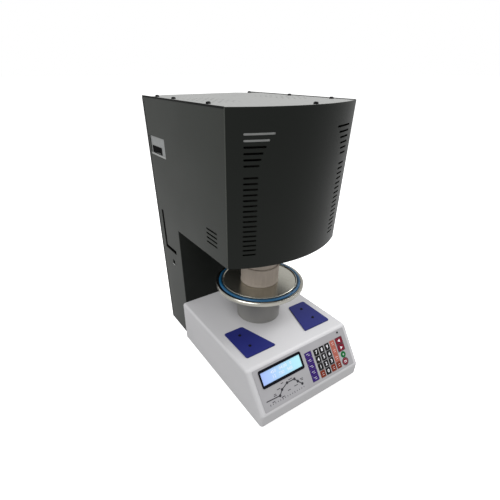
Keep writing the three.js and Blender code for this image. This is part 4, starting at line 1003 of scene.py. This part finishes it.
# Silicone is dull and a little dusty, so its colours stay even from every side.
key_finish = {
    slot: surface(f"silicone_{slot}", first, second, 0.6, 9, 0.7, 0.02, Specular_IOR_Level=0.15)
    for slot, (first, second) in KEY_COLOURS.items()
}
# Pad-printed ink is an even, slightly grey white, flat on the cap.
legend_white = surface("white_key_print", "ececf0", "e2e2e8", 0.5, 6, 0.6, 0.003)


def inked(corners):
    """Gives a key's print its own finish."""
    for face in {face for vert in corners for face in vert.link_faces}:
        face.material_index = 1


keypad = []
for i in range(5):
    y = FUNCTION_FIRST[1] - FUNCTION_STEP * i
    keypad.append((f"key_function_{i + 1}", FUNCTION_FIRST[0], y, FUNCTION_SIZE, "key_purple", ""))
GRID = [
    ["key_7", "key_8", "key_9", "key_side_1"],
    ["key_4", "key_5", "key_6", "key_side_2"],
    ["key_1", "key_2", "key_3", "key_side_3"],
    ["key_back", "key_0", "key_next", "key_enter"],
]
for row, names in enumerate(GRID):
    for column, name in enumerate(names):
        digit = name[-1] if name[-1].isdigit() and "side" not in name else ""
        slot = "key_black" if digit else "key_salmon" if "side" in name else "key_orange"
        place = (FIRST[0] + column * STEP[0], FIRST[1] - row * STEP[1])
        keypad.append((name, *place, KEY_SIZE, slot, digit))
for row, (name, size, slot) in enumerate(
    (
        ("key_up", ARROW_SIZE, "key_maroon"),
        ("key_down", ARROW_SIZE, "key_maroon"),
        ("key_start", None, "key_green"),
        ("key_stop", None, "key_red"),
    )
):
    keypad.append((name, ARROW_X, FIRST[1] - row * STEP[1], size, slot, ""))

# Plain bars stand for the printed signs: (x, y, length, height) from each key's middle.
KEY_MARKS = {
    "key_purple": [(-1.5, 2.6, 10, 0.8), (1.5, -1.6, 7, 0.8)],
    "key_salmon": [(0, 2.8, 7, 0.8), (0, -2.4, 5.5, 0.8)],
    "key_orange": [(0, 2.4, 6, 0.7), (0, -2.6, 6, 0.7)],
    "key_green": [(0, 0, 5.5, 1.2), (0, 0, 1.2, 5.5)],
    "key_red": [(0, 2.2, 8, 1.5), (0, -2.2, 8, 1.5), (-3.4, 0, 1.4, 4), (3.4, 0, 1.4, 4)],
}
for name, x, y, size, slot, digit in keypad:
    cap = bmesh.new()
    if size:
        corners = block(cap, (*size, KEY_TOP - KEY_LOW), Matrix.Identity(4))
        bevelled(cap, uprights(cap, corners), KEY_CORNER, 4)
    else:
        rod(cap, ROUND_KEY_RADIUS, KEY_TOP - KEY_LOW, 48)
    round_off(cap, KEY_ROUND, 3, 60)
    cap_place = on_panel(x, y, (KEY_TOP + KEY_LOW) / 2)
    bmesh.ops.transform(cap, matrix=cap_place, verts=cap.verts)
    top = on_panel(x, y, KEY_TOP + MARK_RISE)
    if digit:
        figure = lettering(digit, DIGIT_SIZE, top, bold=DIGIT_BOLD)
        inked(figure.verts)
        spare = bpy.data.meshes.new("figure")
        figure.to_mesh(spare)
        figure.free()
        cap.from_mesh(spare)
        bpy.data.meshes.remove(spare)
    elif name in ("key_up", "key_down"):
        point = 1 if name == "key_up" else -1
        turn = Matrix.Rotation(point * math.pi / 2, 4, "Z")
        inked(rod(cap, ARROW_RADIUS, MARK_DEPTH, 3, top @ turn))
    for mark_x, mark_y, length, height in KEY_MARKS.get(slot, []):
        mark_place = on_panel(x + mark_x, y + mark_y, KEY_TOP + MARK_RISE)
        inked(block(cap, (length, height, MARK_DEPTH), mark_place))
    piece(f"{name}_top", cap, f"{name}_cap", [key_finish[slot], legend_white], slot, name)


# Key surrounds: the film is printed round the caps in a deeper tone of their colours.
# A ring frames the round stop key. Colour, side and end border in mm.
PRINTS = {
    "key_purple": ("2c195a", 1.2, 0.6),
    "key_black": ("0e0e11", 1.3, 1.2),
    "key_orange": ("74301f", 1.3, 1.2),
    "key_salmon": ("a85c4d", 1.4, 1.6),
    "key_maroon": ("4a1420", 1.6, 1.6),
}
PRINT_GAP = 0.3
RING_PLACE = (125, -94.9)
RING_RADII = (9.1, 11.2)
RING_RISE = 0.09
for slot, (colour, side_border, end_border) in PRINTS.items():
    field = bmesh.new()
    for name, x, y, size, key_slot, digit in keypad:
        if key_slot != slot:
            continue
        width, height = size[0] + 2 * PRINT_GAP, size[1] + 2 * PRINT_GAP
        reach = height + 2 * end_border
        for side in (-1, 1):
            edge_x = x + side * (width + side_border) / 2
            side_place = on_panel(edge_x, y, FILM_TOP + INK_RISE)
            block(field, (side_border, reach, INK_DEPTH), side_place)
            edge_y = y + side * (height + end_border) / 2
            end_place = on_panel(x, edge_y, FILM_TOP + INK_RISE)
            block(field, (width, end_border, INK_DEPTH), end_place)
    if slot == "key_maroon":
        ring_place = on_panel(*RING_PLACE, FILM_TOP + RING_RISE)
        ring = {
            edge
            for radius in RING_RADII
            for vert in bmesh.ops.create_circle(
                field, segments=48, radius=radius * MM, matrix=ring_place
            )["verts"]
            for edge in vert.link_edges
        }
        bmesh.ops.bridge_loops(field, edges=list(ring))
    # Ink in the keys' colours, a shade deeper and as dull as the film under it.
    ink = surface(f"{slot}_print", colour, colour, 0.5, 8, 0.6, 0.004)
    piece(f"{slot}_surrounds", field, "housing", [ink], slot)


# Rest plates: dark blue moulded plates on the deck for hot work, two screws each.
# Their inner edge runs slantwise, clear of the seal plate above.
# The moulding is finely grained, which breaks up its sheen.
pad_blue = surface(
    "dark_blue_moulding", "1f2468", "23296c", 0.55, 30, 0.8, 0.02, Specular_IOR_Level=0.2
)
PAD_LOW = 137.3
PAD_THICK = 3
PAD_CORNERS = ((138.3, -318.5), (82, -318.5), (49.4, -424.5), (138.3, -424.5))
PAD_CORNER = 5
PAD_ROUND = 0.6
PAD_SCREWS = ((107, -346), (107, -392.5))
LOW_HEAD = [(0, 0.4), (1.7, 0.4), (1.9, 1.6), (3.6, 1.1), (4.3, 0.02), (0, 0.02)]
for side, name in ((-1, "left"), (1, "right")):
    pad = bmesh.new()
    rim = [pad.verts.new(at(side * x, y, PAD_LOW)) for x, y in PAD_CORNERS]
    drawn_out(pad, rim, (0, 0, PAD_THICK))
    bevelled(pad, uprights(pad, pad.verts), PAD_CORNER, 6)
    round_off(pad, PAD_ROUND, 2, 60)
    piece(f"{name}_pad", pad, "housing", [pad_blue], "blue_plastic", f"{name}_rest_plate")
    for number, (x, y) in enumerate(PAD_SCREWS):
        screw_head(f"{name}_pad_screw_{number}", LOW_HEAD, side * x, y, PAD_LOW + PAD_THICK)


# Lift: a grey painted collar on the deck and, above it, the turned seal plate.
# The plate carries a silicone cord in its groove, the polished dish, the pedestal and table.
COLLAR = [
    (25.5, 95),
    (31.5, 95),
    (31.5, 227.2),
    (57, 227.2),
    (57, 137.3),
    (60, 137.3),
    (60, 229.2),
    (58, 231.2),
    (25.5, 231.2),
]
PLATE = [
    (0, 231.5),
    (114.5, 231.5),
    (117.8, 234.5),
    (117.8, 242),
    (115.8, 244),
    (110.3, 244),
    (110.3, 239.2),
    (100.7, 239.2),
    (100.7, 244),
    (0, 244),
]
CORD_MIDDLE = (105.6, 243.5)
CORD_RADIUS = 3.7
CORD_SIDES = 20
DISH = [
    (0, 244.3),
    (100.4, 244.3),
    (100.4, 247),
    (99.9, 248.2),
    (98.8, 248.8),
    (97.6, 248.3),
    (96.6, 246.6),
    (95.2, 245.9),
    (0, 245.9),
]
PEDESTAL = [
    (0, 246),
    (49.8, 246),
    (50.5, 246.8),
    (50.5, 249),
    (49.4, 251.2),
    (48.7, 254.5),
    (48.7, 258),
    (49.9, 262),
    (49.9, 293.6),
    (48.6, 295.2),
    (0, 295.2),
]
TABLE = [(0, 295.5), (46, 295.5), (46, 309), (44.5, 310.5), (40, 310.5), (38, 308.5), (0, 308.5)]
cord = []
for i in range(CORD_SIDES):
    angle = 2 * math.pi * i / CORD_SIDES
    radius = CORD_MIDDLE[0] + CORD_RADIUS * math.cos(angle)
    cord.append((radius, CORD_MIDDLE[1] + CORD_RADIUS * math.sin(angle)))
# Sprayed satin paint: an even mid grey with a soft highlight down the side.
collar_grey = surface(
    "grey_collar_paint", "8e8d8a", "83827f", 0.4, 60, 1.2, 0.02, Specular_IOR_Level=0.4
)
# Lathe marks run round the axis, so the turned steel's grain is squeezed along it.
satin = surface(
    "turned_stainless", "b0aea6", "a4a29a", 0.26, 30, 0.7, 0.006, (1, 1, 6), Metallic=1.0
)
# Silicone cord is smooth and slightly wet to the eye, with a narrow highlight.
blue_cord = surface(
    "blue_silicone_cord", "13527b", "1a608a", 0.3, 14, 0.8, 0.01, Specular_IOR_Level=0.5
)
# Polishing leaves a clouded mirror: the pedestal shows in it, but softly.
mirror = surface(
    "polished_stainless", "c6c4b9", "bab8ad", 0.24, 60, 2.5, 0.002, spread=0.04, Metallic=0.93
)
# Pressed refractory is chalky and streaked upright by the press, each streak 7 mm wide.
chalky = surface(
    "pressed_refractory",
    "d2c6ba",
    "b7ab9f",
    0.92,
    7,
    1.6,
    0.2,
    (1, 1, 0.12),
    0.03,
    Specular_IOR_Level=0.2,
)
for node, name, outline, closed, steps, rounding, finish, slot in (
    ("lift_collar", "collar_turning", COLLAR, True, 128, 0.3, collar_grey, "collar_paint"),
    ("lift_plate", "seal_plate", PLATE, False, 160, 0.3, satin, "satin_steel"),
    ("seal_ring", "seal_cord", cord, True, 160, 0, blue_cord, "blue_silicone"),
    ("mirror_dish", "polished_dish", DISH, False, 160, 0.2, mirror, "mirror_steel"),
    ("pedestal_block", "pedestal_turning", PEDESTAL, False, 112, 0.5, chalky, "refractory"),
    ("firing_table", "table_turning", TABLE, False, 112, 0.5, chalky, "refractory"),
):
    body = "housing" if node == "lift_collar" else "platform"
    shape = turned(outline, 0, LIFT_Y, steps, rounding, closed)
    piece(name, shape, body, [finish], slot, node)


# Inside the lift: the ground column, its lead screw and the stepper motor in the base.
# The column slides in the collar's guide and the motor is bolted to the pan.
redressed("ground_column", "lift_column", EDGE_ROUND, satin, "satin_steel", "platform")
redressed("screw_spindle", "lead_screw", EDGE_ROUND, satin, "satin_steel", "screw")
redressed("stepper_motor", "lift_motor", EDGE_ROUND, satin_black, "deep_paint")


# Inside the head: a steel vacuum can with a muffle of pressed ceramic fibre.
# The heating wire is wound in a niche round the muffle's bore.
COIL_RADIUS = 58.4
COIL_LOW = 432.3
COIL_RISE = 70.4
COIL_TURNS = 5
COIL_STEPS = 40
WIRE_RADIUS = 2
FIBRE_ROUND = 0.8
# Ceramic fibre is a warm white felt, rough enough to look soft.
fibre = surface("ceramic_fibre", "eee7dc", "e3dacb", 0.95, 14, 2.2, 0.4, spread=0.03)
# Firing turns the wire a dull grey brown and leaves it a blurred, broad shine.
heating_wire = surface(
    "oxidised_heating_wire", "7d7870", "6b665f", 0.5, 6, 0.6, 0.01, Metallic=0.8
)
# The can's steel has darkened in the heat, in clouds about two centimetres wide.
dulled = surface(
    "heat_dulled_steel",
    "33322f",
    "45433f",
    0.6,
    24,
    0.9,
    0.02,
    Metallic=0.3,
    Specular_IOR_Level=0.2,
)
redressed("vacuum_can", "vacuum_chamber", EDGE_ROUND, dulled, "satin_steel")
redressed("fibre_muffle", "muffle_insulation", FIBRE_ROUND, fibre, "fibre")
winding = bmesh.new()
wire = bmesh.ops.create_circle(
    winding,
    segments=10,
    radius=WIRE_RADIUS * MM,
    matrix=Matrix.Translation((COIL_RADIUS * MM, 0, COIL_LOW * MM))
    @ Matrix.Rotation(math.pi / 2, 4, "X"),
)["verts"]
bmesh.ops.spin(
    winding,
    geom=wire + list({edge for vert in wire for edge in vert.link_edges}),
    cent=(0, 0, 0),
    axis=(0, 0, 1),
    dvec=(0, 0, COIL_RISE * MM / (COIL_TURNS * COIL_STEPS)),
    angle=COIL_TURNS * 2 * math.pi,
    steps=COIL_TURNS * COIL_STEPS,
    use_merge=False,
    use_duplicate=False,
)
bmesh.ops.holes_fill(winding, edges=[e for e in winding.edges if e.is_boundary], sides=10)
bmesh.ops.recalc_face_normals(winding, faces=winding.faces)
bmesh.ops.translate(winding, verts=winding.verts, vec=at(0, LIFT_Y, 0))
piece("heating_winding", winding, "housing", [heating_wire], "satin_steel", "heating_coil")


# Studio: a wide pale floor that meets a white background, with no edge in sight.
# Two large soft lamps stand high on both sides and a weak one in front.
FLOOR_SIZE = 60
FLOOR_GLOW = 0.8
SHINE_SHARE = 0.4
AIR_LEVEL = 0.52
floor_shape = bmesh.new()
bmesh.ops.create_grid(floor_shape, x_segments=2, y_segments=2, size=FLOOR_SIZE)
floor_mesh = bpy.data.meshes.new("floor")
floor_shape.to_mesh(floor_mesh)
floor_shape.free()
floor = bpy.data.objects.new("floor", floor_mesh)
bpy.context.scene.collection.objects.link(floor)
floor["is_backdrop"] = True
# The camera sees a pale floor with the object's shadow, and metal shows it at less than half.
# What bounces up from it is darker, so that it doesn't light the object from below.
pale = bpy.data.materials.new("pale_studio_floor")
pale.use_nodes = True
pale_tree = pale.node_tree
pale_tree.nodes.clear()
rays = add_node(pale_tree, "ShaderNodeLightPath")
matt = add_node(pale_tree, "ShaderNodeBsdfDiffuse", {"Color": linear("e6e6e6")})
glow = add_node(pale_tree, "ShaderNodeEmission", {"Color": (1, 1, 1, 1), "Strength": FLOOR_GLOW})
lit_floor = add_node(pale_tree, "ShaderNodeAddShader")
pale_tree.links.new(matt.outputs[0], lit_floor.inputs[0])
pale_tree.links.new(glow.outputs[0], lit_floor.inputs[1])
seen = add_node(
    pale_tree,
    "ShaderNodeMath",
    {0: rays.outputs["Is Glossy Ray"], 1: SHINE_SHARE, 2: rays.outputs["Is Camera Ray"]},
    operation="MULTIPLY_ADD",
    use_clamp=True,
)
either = add_node(pale_tree, "ShaderNodeMixShader", {0: seen.outputs[0]})
bounce = add_node(pale_tree, "ShaderNodeBsdfDiffuse", {"Color": linear("a8a8a8")})
pale_tree.links.new(bounce.outputs[0], either.inputs[1])
pale_tree.links.new(lit_floor.outputs[0], either.inputs[2])
add_node(pale_tree, "ShaderNodeOutputMaterial", {"Surface": either.outputs[0]})
floor_mesh.materials.append(pale)

# The air is white to the camera and through glass, and half as bright to everything else
# but a metal's shine, which shows it a little brighter.
world = bpy.data.worlds.new("studio")
bpy.context.scene.world = world
world.use_nodes = True
air = world.node_tree
air.nodes.clear()
air_rays = add_node(air, "ShaderNodeLightPath")
air_clear = add_node(
    air,
    "ShaderNodeMath",
    {0: air_rays.outputs["Is Camera Ray"], 1: air_rays.outputs["Is Transmission Ray"]},
    operation="MAXIMUM",
)
air_seen = add_node(
    air,
    "ShaderNodeMath",
    {0: air_rays.outputs["Is Glossy Ray"], 1: SHINE_SHARE, 2: air_clear.outputs[0]},
    operation="MULTIPLY_ADD",
    use_clamp=True,
)
level = add_node(
    air, "ShaderNodeMapRange", {"Value": air_seen.outputs[0], "To Min": AIR_LEVEL, "To Max": 1.0}
)
sky = add_node(
    air, "ShaderNodeBackground", {"Color": (1, 1, 1, 1), "Strength": level.outputs["Result"]}
)
add_node(air, "ShaderNodeOutputWorld", {"Surface": sky.outputs[0]})

# Place, aim, size in metres and power in watts of each lamp.
LAMPS = {
    "key_lamp": ((1.7, -0.3, 2.4), (0, 0, 0.15), 1.6, 48),
    "fill_lamp": ((0.2, -2.4, 1.4), (0, 0, 0.25), 1.8, 1),
    "side_lamp": ((-1.8, -0.5, 2.6), (0, 0, 0.15), 1.8, 48),
}
for name, (place, target, size, power) in LAMPS.items():
    lamp = bpy.data.lights.new(name, "AREA")
    lamp.size = size
    lamp.energy = power
    holder = bpy.data.objects.new(name, lamp)
    holder.location = place
    holder.rotation_euler = (Vector(target) - Vector(place)).to_track_quat("-Z", "Y").to_euler()
    bpy.context.scene.collection.objects.link(holder)


# Camera: stands to the front left and above, as the photographer did.
# The picture's middle lies off the lens's axis, so the frame is shifted.
YAW = math.radians(33.319)
PITCH = math.radians(35.360)
CAMERA_PLACE = (-470.33, -893.77, 702.32)
FOCAL_PIXELS = 330.468
PICTURE = 500
LENS_AXIS = (238.705, 305.599)
camera_data = bpy.data.cameras.new("camera")
camera_data.sensor_width = 36
camera_data.lens = FOCAL_PIXELS / PICTURE * camera_data.sensor_width
camera_data.shift_x = (PICTURE / 2 - LENS_AXIS[0]) / PICTURE
camera_data.shift_y = (LENS_AXIS[1] - PICTURE / 2) / PICTURE
camera = bpy.data.objects.new("camera", camera_data)
camera.location = at(*CAMERA_PLACE)
ahead = Vector(
    (math.sin(YAW) * math.cos(PITCH), math.cos(YAW) * math.cos(PITCH), -math.sin(PITCH))
)
camera.rotation_euler = ahead.to_track_quat("-Z", "Y").to_euler()
bpy.context.scene.collection.objects.link(camera)
bpy.context.scene.camera = camera
bpy.context.scene.view_settings.view_transform = "Standard"

low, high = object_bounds()
